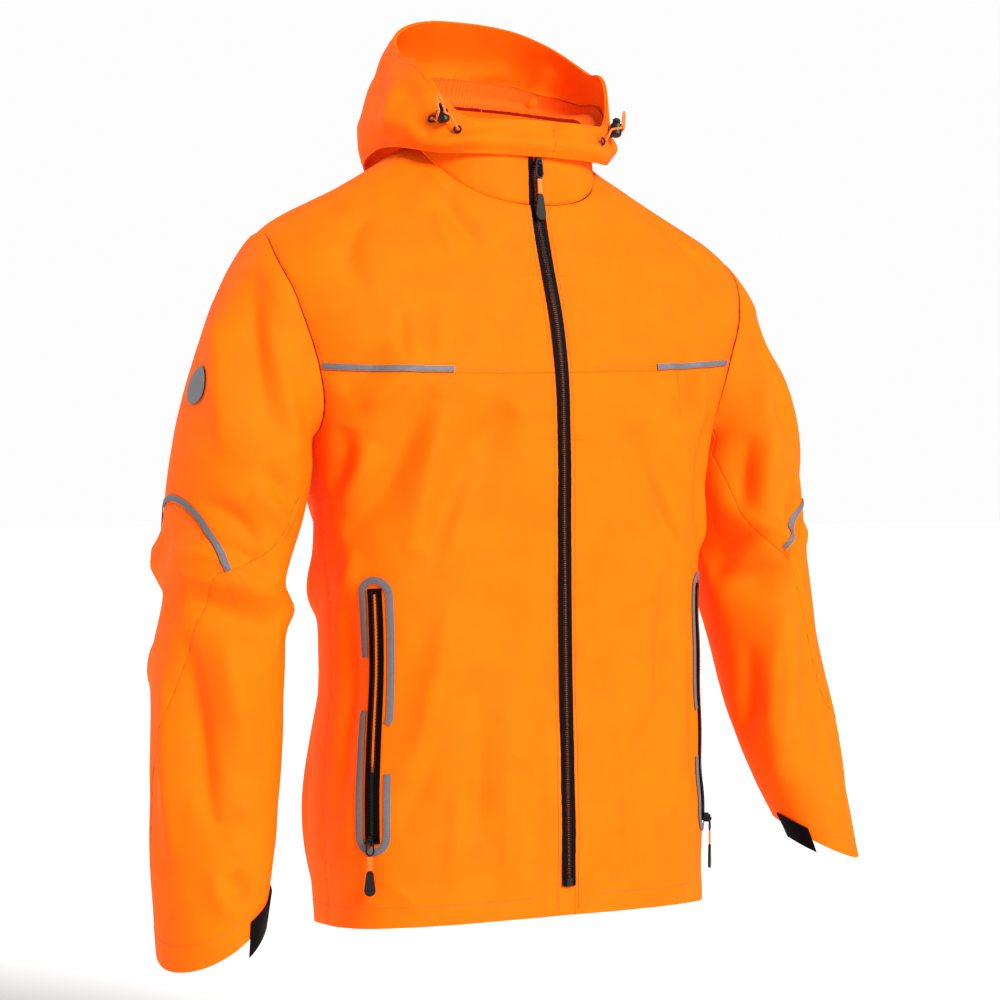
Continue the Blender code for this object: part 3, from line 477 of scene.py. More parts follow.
LINING_RINGS = RingForm(Table((
    (0.0360, 0.0780, 0.0920, 0.1080, -0.0470, 0.038, 0.1250),
    (0.0420, 0.0790, 0.1020, 0.1150, -0.0475, 0.042, 0.1400),
    (0.0450, 0.0890, 0.1240, 0.1140, -0.0480, 0.042, 0.1380),
)), flat_front=38.0)
ARMPIT, YOKE, SHOULDER_TIP, NECK = 4.0, 5.0, 7.0, 9.0
ARMHOLE_FRONT, ARMHOLE_BACK = 24.0, 36.0    # degrees the armhole reaches before and behind the side
SEAM_GAP = 0.0003
CLOTH, LINING_CLOTH, TRIM_CLOTH = 0.0015, 0.0012, 0.0008
LINING_LIFT = 0.0025                        # the lining ends this far above the collar's top


class LiningForm:
    """The hood's mesh lining, from the facing (3) down to the collar's top (0)."""

    def point(self, turn: Array, level: Array) -> Array:
        """Place points at an angle and a level."""
        turn, level = np.broadcast_arrays(np.asarray(turn, float), np.asarray(level, float))
        upper = LINING_RINGS.point(turn, np.maximum(level - 1.0, 0.0))
        upper[..., 0] += HOOD.lean * (np.maximum(level, 1.0) / 4) ** 2
        foot = COLLAR.point(turn, np.ones_like(level)) + np.array([0.0, 0.0, LINING_LIFT])
        share = np.clip(level, 0.0, 1.0)[..., None]
        return foot + (upper - foot) * share


@dataclass(frozen=True)
class SleeveForm:
    """A sleeve: from the armhole to tilted oval sections.

    Columns of the table: x, y, z, half_breadth, half_depth, tilt, pitch. The angle round is 0 at
    the front, 90 at the outer side and 270 at the armpit.
    """

    table: Table
    side: int
    cap_share: float = 0.30     # share of the length between armhole and first section
    cap_reach: float = 0.14     # how far the cap runs on along the shoulder's slope

    def section(self, place: Array, turn: Array) -> Array:
        """Place points on a section."""
        x, y, z, half_breadth, half_depth, tilt, pitch = self.table.read(place)
        out = half_breadth * np.sin(np.radians(turn))
        ahead = half_depth * np.cos(np.radians(turn))
        drop = out * np.sin(np.radians(tilt)) + ahead * np.sin(np.radians(pitch))
        return np.stack([x + self.side * out * np.cos(np.radians(tilt)),
                         y - ahead * np.cos(np.radians(pitch)), z - drop], axis=-1)

    def armhole(self, turn: Array) -> Array:
        """Place points of the armhole, lifted clear of the body panels."""
        level = (ARMPIT + SHOULDER_TIP) / 2 + (SHOULDER_TIP - ARMPIT) / 2 * np.sin(np.radians(turn))
        ahead = np.cos(np.radians(turn))
        reach = np.where(ahead > 0, ARMHOLE_FRONT, ARMHOLE_BACK)
        body_turn = self.side * (90 - reach * ahead)
        return BODY.point(body_turn, level) + normals(BODY, body_turn, level) * (CLOTH + SEAM_GAP)

    def point(self, turn: Array, share: Array) -> Array:
        """Place points at an angle and a share of the sleeve's length."""
        turn, share = np.broadcast_arrays(np.asarray(turn, float), np.asarray(share, float))
        sections = len(self.table.rows) - 1
        run = sections / (1 - self.cap_share)
        lower = self.section(np.maximum(share - self.cap_share, 0.0) * run, turn)
        s = np.clip(share / self.cap_share, 0.0, 1.0)[..., None]
        start, end = self.armhole(turn), self.section(np.zeros_like(share), turn)
        small = 0.02
        run_in = (self.section(np.full_like(share, small), turn) - end) / small * self.cap_share * run
        height = np.maximum(np.sin(np.radians(turn)), 0.0)[..., None]
        side = np.concatenate([self.side * (0.72 + 0.1 * height), height * 0, -0.62 + 0.02 * height], axis=-1)
        reach = np.linalg.norm(end - start, axis=-1, keepdims=True)
        run_out = unit(side) * (reach * (1 - height) + self.cap_reach * height)
        cap = (start * (2 * s ** 3 - 3 * s ** 2 + 1) + run_out * (s ** 3 - 2 * s ** 2 + s)
               + end * (3 * s ** 2 - 2 * s ** 3) + run_in * (s ** 3 - s ** 2))
        return np.where((share >= self.cap_share)[..., None], lower, cap)


def normals(form: object, turn: Array, level: Array, sign: float = 1.0) -> Array:
    """Outward directions of a form.

    Args:
        form: Anything with a point(turn, level) method.
        turn: Angles in degrees.
        level: Levels or shares.
        sign: 1, or -1 for a form whose angles run the other way.
    Returns:
        Unit vectors.
    """
    along = form.point(turn + 0.4, level) - form.point(turn - 0.4, level)
    up = form.point(turn, level + 0.01) - form.point(turn, level - 0.01)
    return unit(np.cross(along, up)) * sign


SLEEVES = {
    Side.RIGHT: SleeveForm(Table((
        (-0.297, 0.016, -0.312, 0.065, 0.084, -12.0, 0.0),
        (-0.311, 0.018, -0.400, 0.060, 0.080, -4.0, 0.0),
        (-0.322, 0.012, -0.520, 0.062, 0.074, 0.0, 0.0),
        (-0.330, 0.004, -0.640, 0.060, 0.068, 10.0, 2.0),
        (-0.337, -0.006, -0.743, 0.060, 0.066, 33.0, 10.0),
    )), Side.RIGHT.value),
    Side.LEFT: SleeveForm(Table((
        (0.288, 0.004, -0.312, 0.060, 0.078, -12.0, 0.0),
        (0.298, -0.004, -0.400, 0.058, 0.072, -4.0, 4.0),
        (0.308, -0.024, -0.520, 0.054, 0.064, 4.0, 10.0),
        (0.323, -0.044, -0.605, 0.055, 0.058, 10.0, 14.0),
        (0.342, -0.066, -0.690, 0.048, 0.052, 18.0, 16.0),
    )), Side.LEFT.value),
}


# ---- creases ------------------------------------------------------------------------
ROUNDED = 0.12          # rounds the bottom of a fold
SOFTEST = 1.6           # least width of a fold against its depth
FOLD_GAIN = 1.95        # one gain on the depth of every fold


@dataclass(frozen=True)
class Crease:
    """One fold of the cloth: a soft trough (negative depth) or ridge along a curved line."""

    path: tuple[tuple[float, float], ...]   # places (turn, level) on its form
    width: float                            # half width of the fold, metres
    depth: float                            # height over the cloth, metres
    crisp: float = 1.6                      # 2 is a round back, 1 a sharp one
    lead: float = 0.5                       # where along its length the fold is deepest

    def line(self, form: object, steps: int = 36) -> Array:
        """Sample the fold's line on its form."""
        turn, level = Table(self.path).read(np.linspace(0, len(self.path) - 1, steps))
        return form.point(turn, level)

    def lift(self, places: Array, line: Array) -> Array:
        """Height that the fold gives to each place.

        Args:
            places: Points on the cloth.
            line: The fold's sampled line.
        Returns:
            Heights along the cloth's outward direction.
        """
        depth = FOLD_GAIN * self.depth
        width = max(self.width, SOFTEST * abs(depth))
        reach = width * 3.2
        near = np.all((places > line.min(0) - reach) & (places < line.max(0) + reach), axis=1)
        lift = np.zeros(len(places))
        if not near.any():
            return lift
        spot = places[near]
        best = np.full(len(spot), np.inf)
        along = np.zeros(len(spot))
        for i, (start, end) in enumerate(zip(line[:-1], line[1:])):
            run = end - start
            share = np.clip(((spot - start) @ run) / max(run @ run, 1e-12), 0.0, 1.0)
            gap = np.linalg.norm(spot - start - share[:, None] * run, axis=1)
            closer = gap < best
            best[closer] = gap[closer]
            along[closer] = ((i + share) / (len(line) - 1))[closer]
        bend = np.where(along < self.lead, along / self.lead, (1 - along) / (1 - self.lead))
        fade = np.sin(np.clip(bend, 0, 1) * pi / 2) ** 0.8
        out = best / (width * (0.70 + 0.30 * fade))
        core = (out ** 2 + ROUNDED) ** (self.crisp / 2) - ROUNDED ** (self.crisp / 2)
        shape = 1.22 * np.exp(-core) - 0.22 * np.exp(-(out / 2.1) ** 2)
        lift[near] = depth * fade * shape
        return lift


@dataclass(frozen=True)
class Folds:
    """All folds of one form, with a slow unevenness of the whole cloth."""

    form: object
    creases: tuple[Crease, ...]
    calm: tuple[tuple[tuple[float, float, float], float], ...] = ()   # centres and radii kept flat
    drift: float = 0.0016
    seed: int = 3
    still: tuple[Array, ...] = ()           # seam lines beside which the cloth lies plain
    still_reach: float = 0.024

    def waves(self, places: Array) -> Array:
        """Slow and middling unevenness, from sums of sine waves."""
        random = np.random.default_rng(self.seed)
        total = np.zeros(len(places))
        for length, height, count in ((0.20, 1.0, 5), (0.085, 0.42, 8), (0.036, 0.13, 10)):
            for _ in range(count):
                way = unit(random.normal(size=3) * np.array([1.0, 1.0, 0.55]))
                phase = random.uniform(0, 2 * pi)
                total += height / count ** 0.5 * np.sin(places @ way * (2 * pi / length) + phase)
        return total * self.drift

    def height(self, places: Array) -> Array:
        """Height of every place over the plain form."""
        total = self.waves(places)
        for crease in self.creases:
            total += crease.lift(places, crease.line(self.form))
        for centre, radius in self.calm:
            gap = np.linalg.norm(places - np.array(centre), axis=1)
            total *= soft_step(gap / radius - 0.6)
        for line in self.still:
            gap = np.full(len(places), np.inf)
            for spot in line:
                gap = np.minimum(gap, ((places - spot) ** 2).sum(axis=1))
            total *= soft_step(np.sqrt(gap) / self.still_reach - 0.15)
        return np.clip(total, -0.016, 0.0095)


@dataclass(frozen=True)
class Cloth:
    """A folded surface: a form, the sign of its outward direction and its folds."""

    form: object
    folds: Folds | None = None
    sign: float = 1.0

    def place(self, turn: Array, level: Array, lift: Array | float = 0.0) -> Array:
        """Place points on the folded cloth.

        Args:
            turn: Angles in degrees.
            level: Levels or shares.
            lift: Height over the cloth's middle, along its outward direction.
        Returns:
            Points, of the shape of the inputs with a last axis of 3.
        """
        turn, level = np.broadcast_arrays(np.asarray(turn, float), np.asarray(level, float))
        flat = self.form.point(turn, level)
        away = normals(self.form, turn, level, self.sign)
        rise = np.zeros(turn.shape)
        if self.folds is not None:
            rise = self.folds.height(flat.reshape(-1, 3)).reshape(turn.shape)
        return flat + away * (rise + lift)[..., None]

    def out(self, turn: float, level: float) -> Array:
        """Outward direction of the plain form at one place."""
        return normals(self.form, np.array([float(turn)]), np.array([float(level)]), self.sign)[0]


BODY_CREASES = (
    # wearer's right front: folds that fall from the zip across the chest to the pocket
    Crease(((-9, 4.45), (-21, 3.70), (-38, 3.00)), 0.0150, -0.0085, 1.5, 0.35),
    Crease(((-28, 4.70), (-47, 3.72), (-76, 3.15)), 0.0130, -0.0065, 1.5, 0.4),
    Crease(((-27, 4.50), (-37, 3.60), (-44, 3.00)), 0.0110, 0.0060, 1.3, 0.4),
    Crease(((-15, 4.10), (-24, 3.45), (-34, 2.80)), 0.0100, 0.0035, 1.5, 0.5),
    Crease(((-36, 5.40), (-47, 5.05), (-62, 4.60)), 0.0085, -0.0040, 1.6, 0.45),
    Crease(((-30, 5.15), (-42, 4.75), (-55, 4.30)), 0.0090, 0.0032, 1.5, 0.5),
    Crease(((-23, 6.20), (-26, 5.65), (-28, 5.18)), 0.0060, -0.0028, 1.6, 0.6),
    Crease(((-31, 6.00), (-33, 5.60), (-35, 5.20)), 0.0055, -0.0022, 1.6, 0.6),
    Crease(((-57, 3.95), (-63, 3.65), (-76, 3.35)), 0.0085, 0.0050, 1.3, 0.5),
    Crease(((-66, 4.10), (-72, 3.75), (-84, 3.55)), 0.0090, -0.0048, 1.5, 0.5),
    Crease(((-30, 2.60), (-38, 1.70), (-50, 0.95)), 0.0150, 0.0045, 1.6, 0.45),
    Crease(((-34, 1.65), (-43, 1.22), (-54, 0.85)), 0.0120, -0.0048, 1.5, 0.5),
    Crease(((-21, 1.80), (-21, 1.30), (-22, 0.80)), 0.0090, -0.0034, 1.7, 0.55),
    Crease(((-13, 1.85), (-13, 1.15), (-14, 0.30)), 0.0080, 0.0036, 1.4, 0.6),
    Crease(((-5, 1.45), (-5, 1.00), (-6, 0.45)), 0.0060, -0.0028, 1.6, 0.5),
    Crease(((-27, 1.30), (-29, 0.85), (-31, 0.35)), 0.0100, 0.0022, 1.7, 0.5),
    Crease(((-66, 0.72), (-54, 0.56), (-44, 0.50)), 0.0065, -0.0026, 1.5, 0.4),
    Crease(((-62, 0.55), (-52, 0.38), (-45, 0.26)), 0.0060, 0.0022, 1.5, 0.4),
    Crease(((-80, 2.60), (-77, 1.75), (-82, 0.90)), 0.0130, -0.0050, 1.7, 0.45),
    Crease(((-70, 3.05), (-76, 2.80), (-88, 2.65)), 0.0080, 0.0038, 1.4, 0.5),
    # wearer's left front: one long crease, then short folds below the chest strip
    Crease(((13, 4.20), (25, 3.55), (41, 2.95)), 0.0085, -0.0052, 1.4, 0.45),
    Crease(((17, 4.05), (29, 3.50), (44, 3.05)), 0.0090, 0.0032, 1.5, 0.5),
    Crease(((32, 2.80), (30, 1.95), (29, 1.40)), 0.0095, -0.0038, 1.5, 0.4),
    Crease(((30, 5.35), (34, 4.65), (38, 4.10)), 0.0075, -0.0042, 1.5, 0.5),
    Crease(((37, 5.20), (41, 4.60), (48, 4.05)), 0.0070, 0.0040, 1.3, 0.5),
    Crease(((25, 5.15), (29, 4.60), (32, 4.30)), 0.0065, 0.0026, 1.5, 0.5),
    Crease(((55, 4.30), (58, 3.60), (66, 3.10)), 0.0110, -0.0056, 1.5, 0.5),
    Crease(((66, 3.60), (74, 3.20), (86, 3.00)), 0.0090, 0.0040, 1.4, 0.5),
    Crease(((44, 2.30), (40, 1.50), (44, 0.80)), 0.0120, 0.0030, 1.7, 0.5),
    Crease(((76, 2.30), (72, 1.50), (78, 0.70)), 0.0130, -0.0046, 1.7, 0.5),
    Crease(((7, 8.40), (7, 7.80), (8, 7.30)), 0.0050, -0.0014, 1.7, 0.5),
    Crease(((12, 1.80), (13, 1.10), (14, 0.40)), 0.0085, 0.0026, 1.6, 0.5),
    # yokes: soft diagonals from the neck and off the shoulders
    Crease(((-46, 8.70), (-22, 8.00), (-9, 7.30)), 0.0110, -0.0028, 1.7, 0.4),
    Crease(((-40, 8.35), (-20, 7.40), (-12, 6.70)), 0.0100, 0.0024, 1.7, 0.4),
    Crease(((-62, 7.90), (-48, 7.10), (-40, 6.30)), 0.0130, -0.0034, 1.7, 0.5),
    Crease(((44, 8.60), (26, 7.90), (14, 7.20)), 0.0110, -0.0024, 1.7, 0.45),
    Crease(((60, 7.80), (46, 7.00), (36, 6.20)), 0.0130, -0.0032, 1.7, 0.5),
    Crease(((-70, 8.85), (-57, 8.80), (-44, 8.72)), 0.0060, 0.0026, 1.4, 0.5),
    # back: drag lines off the shoulder blades, folds in the waist, long falls to the hem
    Crease(((118, 6.20), (132, 5.30), (150, 4.70)), 0.0150, -0.0060, 1.6, 0.4),
    Crease(((-120, 6.10), (-136, 5.20), (-156, 4.70)), 0.0140, -0.0056, 1.6, 0.4),
    Crease(((122, 5.20), (140, 4.30), (165, 3.90)), 0.0130, 0.0042, 1.5, 0.45),
    Crease(((-116, 5.00), (-134, 4.10), (-160, 3.70)), 0.0130, 0.0044, 1.5, 0.4),
    Crease(((100, 3.60), (122, 3.05), (148, 2.90)), 0.0110, -0.0056, 1.4, 0.35),
    Crease(((-98, 3.50), (-122, 2.95), (-150, 2.75)), 0.0115, -0.0058, 1.4, 0.35),
    Crease(((98, 3.15), (120, 2.60), (140, 2.50)), 0.0095, 0.0040, 1.4, 0.4),
    Crease(((-96, 3.00), (-118, 2.50), (-146, 2.30)), 0.0095, 0.0042, 1.4, 0.4),
    Crease(((150, 2.40), (154, 1.50), (149, 0.60)), 0.0140, -0.0050, 1.7, 0.5),
    Crease(((-146, 2.20), (-151, 1.30), (-144, 0.45)), 0.0140, -0.0050, 1.7, 0.45),
    Crease(((172, 3.40), (176, 2.20), (170, 1.00)), 0.0160, 0.0042, 1.7, 0.5),
    Crease(((-168, 2.60), (-166, 1.50), (-171, 0.50)), 0.0120, 0.0036, 1.7, 0.5),
    Crease(((120, 1.90), (116, 1.10), (121, 0.35)), 0.0120, 0.0038, 1.7, 0.5),
    Crease(((-118, 1.80), (-113, 1.00), (-120, 0.30)), 0.0120, 0.0038, 1.7, 0.5),
    Crease(((160, 8.30), (150, 7.50), (134, 6.80)), 0.0130, -0.0034, 1.7, 0.45),
    Crease(((-158, 8.40), (-148, 7.50), (-130, 6.70)), 0.0130, -0.0036, 1.7, 0.45),
)
SLEEVE_CREASES = {
    Side.RIGHT: (
        Crease(((64, 0.05), (26, 0.12), (-4, 0.24)), 0.0150, -0.0072, 1.6, 0.45),
        Crease(((36, 0.06), (4, 0.12), (-26, 0.24)), 0.0090, 0.0052, 1.3, 0.45),
        Crease(((88, 0.12), (60, 0.18), (42, 0.27)), 0.0140, 0.0056, 1.6, 0.45),
        Crease(((14, 0.28), (-8, 0.315), (-30, 0.36)), 0.0070, -0.0045, 1.4, 0.5),
        Crease(((20, 0.33), (-4, 0.35), (-26, 0.40)), 0.0060, 0.0042, 1.3, 0.5),
        Crease(((60, 0.36), (30, 0.38), (2, 0.43)), 0.0080, -0.0034, 1.6, 0.5),
        Crease(((88, 0.455), (32, 0.480), (-30, 0.525)), 0.0095, 0.0070, 1.3, 0.4),
        Crease(((60, 0.515), (10, 0.540), (-34, 0.560)), 0.0110, -0.0080, 1.4, 0.5),
        Crease(((50, 0.430), (16, 0.450), (-20, 0.490)), 0.0080, -0.0042, 1.5, 0.5),
        Crease(((28, 0.560), (11, 0.650), (-7, 0.750)), 0.0090, 0.0052, 1.4, 0.4),
        Crease(((62, 0.560), (45, 0.670), (28, 0.790)), 0.0110, -0.0060, 1.5, 0.45),
        Crease(((50, 0.660), (27, 0.805), (0, 0.800)), 0.0080, -0.0040, 1.3, 0.6),
        Crease(((82, 0.600), (72, 0.740), (66, 0.860)), 0.0120, 0.0042, 1.6, 0.5),
        Crease(((10, 0.880), (0, 0.910), (-12, 0.930)), 0.0065, -0.0044, 1.4, 0.5),
        Crease(((30, 0.870), (14, 0.925), (-4, 0.960)), 0.0065, 0.0030, 1.4, 0.5),
        Crease(((100, 0.440), (134, 0.470), (170, 0.520)), 0.0120, 0.0058, 1.4, 0.4),
        Crease(((96, 0.500), (140, 0.545), (190, 0.560)), 0.0120, -0.0070, 1.4, 0.5),
        Crease(((120, 0.580), (150, 0.640), (186, 0.650)), 0.0100, 0.0050, 1.4, 0.5),
        Crease(((120, 0.100), (140, 0.200), (170, 0.300)), 0.0140, -0.0058, 1.6, 0.4),
        Crease(((150, 0.080), (172, 0.180), (200, 0.270)), 0.0110, 0.0048, 1.4, 0.4),
        Crease(((130, 0.700), (140, 0.820), (150, 0.940)), 0.0120, -0.0040, 1.6, 0.5),
        Crease(((250, 0.420), (285, 0.450), (318, 0.500)), 0.0090, -0.0060, 1.4, 0.5),
        Crease(((240, 0.500), (280, 0.520), (320, 0.545)), 0.0090, 0.0046, 1.4, 0.5),
    ),
    Side.LEFT: (
        Crease(((8, 0.370), (-24, 0.372), (-70, 0.380)), 0.0085, 0.0066, 1.2, 0.3),
        Crease(((4, 0.385), (-44, 0.450), (-86, 0.545)), 0.0090, 0.0070, 1.2, 0.35),
        Crease(((0, 0.400), (-54, 0.420), (-90, 0.450)), 0.0090, -0.0072, 1.4, 0.45),
        Crease(((6, 0.160), (-12, 0.260), (-22, 0.350)), 0.0090, 0.0058, 1.3, 0.5),
        Crease(((-26, 0.180), (-36, 0.260), (-40, 0.350)), 0.0100, -0.0056, 1.5, 0.5),
        Crease(((2, 0.470), (-46, 0.485), (-84, 0.480)), 0.0100, -0.0080, 1.4, 0.4),
        Crease(((30, 0.330), (16, 0.372), (-8, 0.390)), 0.0070, -0.0046, 1.4, 0.6),
        Crease(((44, 0.400), (20, 0.420), (-6, 0.430)), 0.0075, 0.0044, 1.3, 0.5),
        Crease(((-12, 0.520), (-28, 0.670), (-60, 0.890)), 0.0130, 0.0062, 1.5, 0.4),
        Crease(((16, 0.540), (4, 0.680), (-16, 0.840)), 0.0110, -0.0046, 1.6, 0.5),
        Crease(((-50, 0.580), (-66, 0.700), (-90, 0.800)), 0.0110, -0.0046, 1.6, 0.5),
        Crease(((20, 0.040), (10, 0.100), (-10, 0.170)), 0.0080, 0.0044, 1.3, 0.4),
        Crease(((48, 0.060), (30, 0.150), (16, 0.240)), 0.0130, -0.0060, 1.6, 0.45),
        Crease(((84, 0.120), (64, 0.200), (56, 0.300)), 0.0140, 0.0048, 1.6, 0.5),
        Crease(((100, 0.430), (140, 0.460), (186, 0.500)), 0.0120, 0.0060, 1.4, 0.4),
        Crease(((96, 0.490), (146, 0.520), (196, 0.540)), 0.0120, -0.0070, 1.4, 0.5),
        Crease(((110, 0.570), (146, 0.620), (190, 0.640)), 0.0100, 0.0046, 1.4, 0.5),
        Crease(((116, 0.090), (136, 0.190), (166, 0.290)), 0.0140, -0.0056, 1.6, 0.4),
        Crease(((120, 0.690), (130, 0.800), (140, 0.920)), 0.0120, -0.0042, 1.6, 0.5),
        Crease(((60, 0.560), (52, 0.700), (60, 0.860)), 0.0120, 0.0036, 1.6, 0.5),
    ),
}
HOOD_CREASES = (
    Crease(((-74, 3.40), (-58, 2.20), (-50, 0.80)), 0.0090, -0.0030, 1.6, 0.4),
    Crease(((-96, 3.60), (-84, 2.20), (-80, 0.70)), 0.0100, 0.0036, 1.6, 0.5),
    Crease(((-30, 2.60), (-42, 1.80), (-60, 1.00)), 0.0080, -0.0028, 1.6, 0.5),
    Crease(((-20, 1.20), (-38, 0.90), (-58, 0.50)), 0.0070, 0.0024, 1.5, 0.5),
    Crease(((30, 2.40), (44, 1.60), (62, 0.90)), 0.0080, -0.0030, 1.6, 0.5),
    Crease(((72, 3.30), (80, 2.10), (84, 0.80)), 0.0100, 0.0034, 1.6, 0.5),
    Crease(((120, 3.50), (132, 2.20), (128, 0.80)), 0.0120, -0.0050, 1.6, 0.5),
    Crease(((-124, 3.40), (-136, 2.10), (-130, 0.80)), 0.0120, -0.0050, 1.6, 0.5),
    Crease(((150, 3.00), (176, 2.30), (-152, 2.90)), 0.0110, -0.0044, 1.6, 0.5),
    Crease(((148, 1.60), (178, 1.00), (-150, 1.50)), 0.0110, 0.0040, 1.6, 0.5),
)


# ---- panels -------------------------------------------------------------------------
def spaced(length: float, step: float, fine: float = 0.0013) -> Array:
    """Shares of a length, an even step apart, with finer ones at both ends.

    Args:
        length: The length, metres.
        step: Even distance between places.
        fine: Distance of the first places from each end.
    Returns:
        Shares from 0 to 1.
    """
    count = max(int(round(length / step)), 2)
    inner = np.linspace(0.0, 1.0, count + 1)
    ends = np.array([fine, 2.2 * fine]) / length
    return np.unique(np.concatenate([inner, ends, 1 - ends]).round(9))


def arc_lengths(grid: Array) -> tuple[float, float, float]:
    """Longest row, longest column and area of a grid of points."""
    across = np.linalg.norm(np.diff(grid, axis=1), axis=-1).sum(1).max()
    along = np.linalg.norm(np.diff(grid, axis=0), axis=-1).sum(0).max()
    one = grid[1:, 1:] - grid[:-1, :-1]
    two = grid[1:, :-1] - grid[:-1, 1:]
    return float(across), float(along), float(np.linalg.norm(np.cross(one, two), axis=-1).sum() / 2)


def new_object(name: str, bm: bmesh.types.BMesh, material: bpy.types.Material,
               sharp: float = 50.0) -> bpy.types.Object:
    """Make an object of a bmesh, shaded smooth but for sharp edges."""
    mesh = bpy.data.meshes.new(name)
    bm.to_mesh(mesh)
    bm.free()
    mesh.materials.append(material)
    mesh.shade_smooth()
    mesh.set_sharp_from_angle(angle=radians(sharp))
    obj = bpy.data.objects.new(name, mesh)
    bpy.context.scene.collection.objects.link(obj)
    return obj


def orient(bm: bmesh.types.BMesh, points: Array, away: Array) -> None:
    """Turn a grid's faces outward.

    Args:
        bm: Grid whose columns run along the points' second axis.
        points: Grid of points.
        away: Outward directions of the points, or of their rows.
    """
    i, j = points.shape[0] // 2, points.shape[1] // 2
    facing = np.cross(points[i, j + 1] - points[i, j], points[i + 1, j] - points[i, j])
    out = away[i, j] if away.ndim == 3 else away[i]
    if facing @ out < 0:
        bmesh.ops.reverse_faces(bm, faces=bm.faces[:])
    bm.normal_update()


STRAY = 0.015           # longest side of a face in any sheet


def thicken(bm: bmesh.types.BMesh, thickness: float) -> None:
    """Give a sheet a wall that grows inward, all of its faces turned outward."""
    bm.normal_update()
    bmesh.ops.solidify(bm, geom=bm.faces[:], thickness=thickness)
    for vert in bm.verts:       # a corner point whose faces are all but flat to one another strays far
        if all(edge.calc_length() > STRAY for edge in vert.link_edges):
            beside = [edge.other_vert(vert).co for edge in vert.link_edges]
            vert.co = sum(beside, Vector()) / len(beside)
    bmesh.ops.recalc_face_normals(bm, faces=bm.faces)
    if bm.calc_volume(signed=True) < 0:
        bmesh.ops.reverse_faces(bm, faces=bm.faces[:])


@dataclass
class Panel:
    """One cut piece of cloth, laid on its surface."""

    node: str
    cloth: Cloth
    places: Callable[[Array, Array], tuple[Array, Array]]   # shares (u, v) to (turn, level)
    seams: str = "lrbt"         # borders that are sewn: left and right of u, bottom and top of v
    thickness: float = CLOTH
    move: float = 0.0           # how far outward of the form the cloth lies
    step: float = 0.0042
    roll: float = 0.0007        # how far a sewn border turns in
    pucker: float = 0.00030     # height of the ripples that sewing leaves
    slot: Slot = Slot.SHELL
    rests_on: tuple[str, ...] = ()

    def border_lift(self, u: Array, v: Array, width: float, length: float) -> Array:
        """Height that sewing gives to each place: borders turn in, with small ripples."""
        lift = np.zeros(u.shape)
        for mark, gap, run in (("l", u * width, v * length), ("r", (1 - u) * width, v * length),
                               ("b", v * length, u * width), ("t", (1 - v) * length, u * width)):
            if mark in self.seams:
                lift -= self.roll * np.exp(-(gap / 0.0019) ** 2)
                ripple = np.sin(run * 2 * pi / 0.0135 + 1.7 * np.sin(run * 2 * pi / 0.061))
                lift += self.pucker * ripple * np.exp(-(gap / 0.0085) ** 2)
        return lift

    def build(self, finish: bpy.types.Material) -> bpy.types.Object:
        """Lay the cloth, thicken it and put it in place of its CAD node.

        Args:
            finish: The cloth's material.
        Returns:
            The finished piece.
        """
        share = np.linspace(0, 1, 41)
        plain = self.cloth.form.point(*self.places(*np.meshgrid(share, share)))
        width, length, area = arc_lengths(plain)
        us, vs = spaced(width, self.step), spaced(length, self.step)
        u, v = np.meshgrid(us, vs)
        turn, level = self.places(u, v)
        lift = self.border_lift(u, v, width, length) + self.move
        points = self.cloth.place(turn, level, lift)
        inward = -normals(self.cloth.form, turn, level, self.cloth.sign) * self.thickness / 2
        self.draw_back(points)
        bm = bmesh.new()
        bmesh.ops.create_grid(bm, x_segments=len(us) - 1, y_segments=len(vs) - 1, size=0.5)
        columns, rows = len(us) - 1, len(vs) - 1
        cut = bm.loops.layers.uv.new("cut")
        for vert in bm.verts:
            i, j = round((vert.co.y + 0.5) * rows), round((vert.co.x + 0.5) * columns)
            for loop in vert.link_loops:
                loop[cut].uv = (us[j] * width, vs[i] * length)
            vert.co = points[i, j] - inward[i, j]
        orient(bm, points, -inward)
        thicken(bm, self.thickness)
        obj = new_object(self.node + "_cloth", bm, finish)
        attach(obj, "root")
        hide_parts(self.node)
        return obj

    def draw_back(self, points: Array) -> None:
        """Draw sewn borders back by half the seam's gap."""
        half = SEAM_GAP / 2
        if "l" in self.seams:
            points[:, 0] += unit(points[:, 1] - points[:, 0]) * half
        if "r" in self.seams:
            points[:, -1] += unit(points[:, -2] - points[:, -1]) * half
        if "b" in self.seams:
            points[0] += unit(points[1] - points[0]) * half
        if "t" in self.seams:
            points[-1] += unit(points[-2] - points[-1]) * half


def body_levels(low: float, high: float) -> Array:
    """Body levels from low to high, close together where the armhole's edge runs level."""
    sweep = np.sin(np.linspace(-pi / 2, pi / 2, 60))
    arch = (ARMPIT + SHOULDER_TIP) / 2 + (SHOULDER_TIP - ARMPIT) / 2 * sweep
    rows = np.concatenate([np.linspace(0, ARMPIT, 130), arch,
                           np.linspace(SHOULDER_TIP, NECK, 42), [low, high]])
    return np.unique(rows[(rows >= low) & (rows <= high)].round(7))


def opening(level: Array) -> Array:
    """How far the armhole opens at a body level, from 0 to 1."""
    height = (level - (ARMPIT + SHOULDER_TIP) / 2) / ((SHOULDER_TIP - ARMPIT) / 2)
    return np.sqrt(np.clip(1 - height ** 2, 0.0, 1.0))


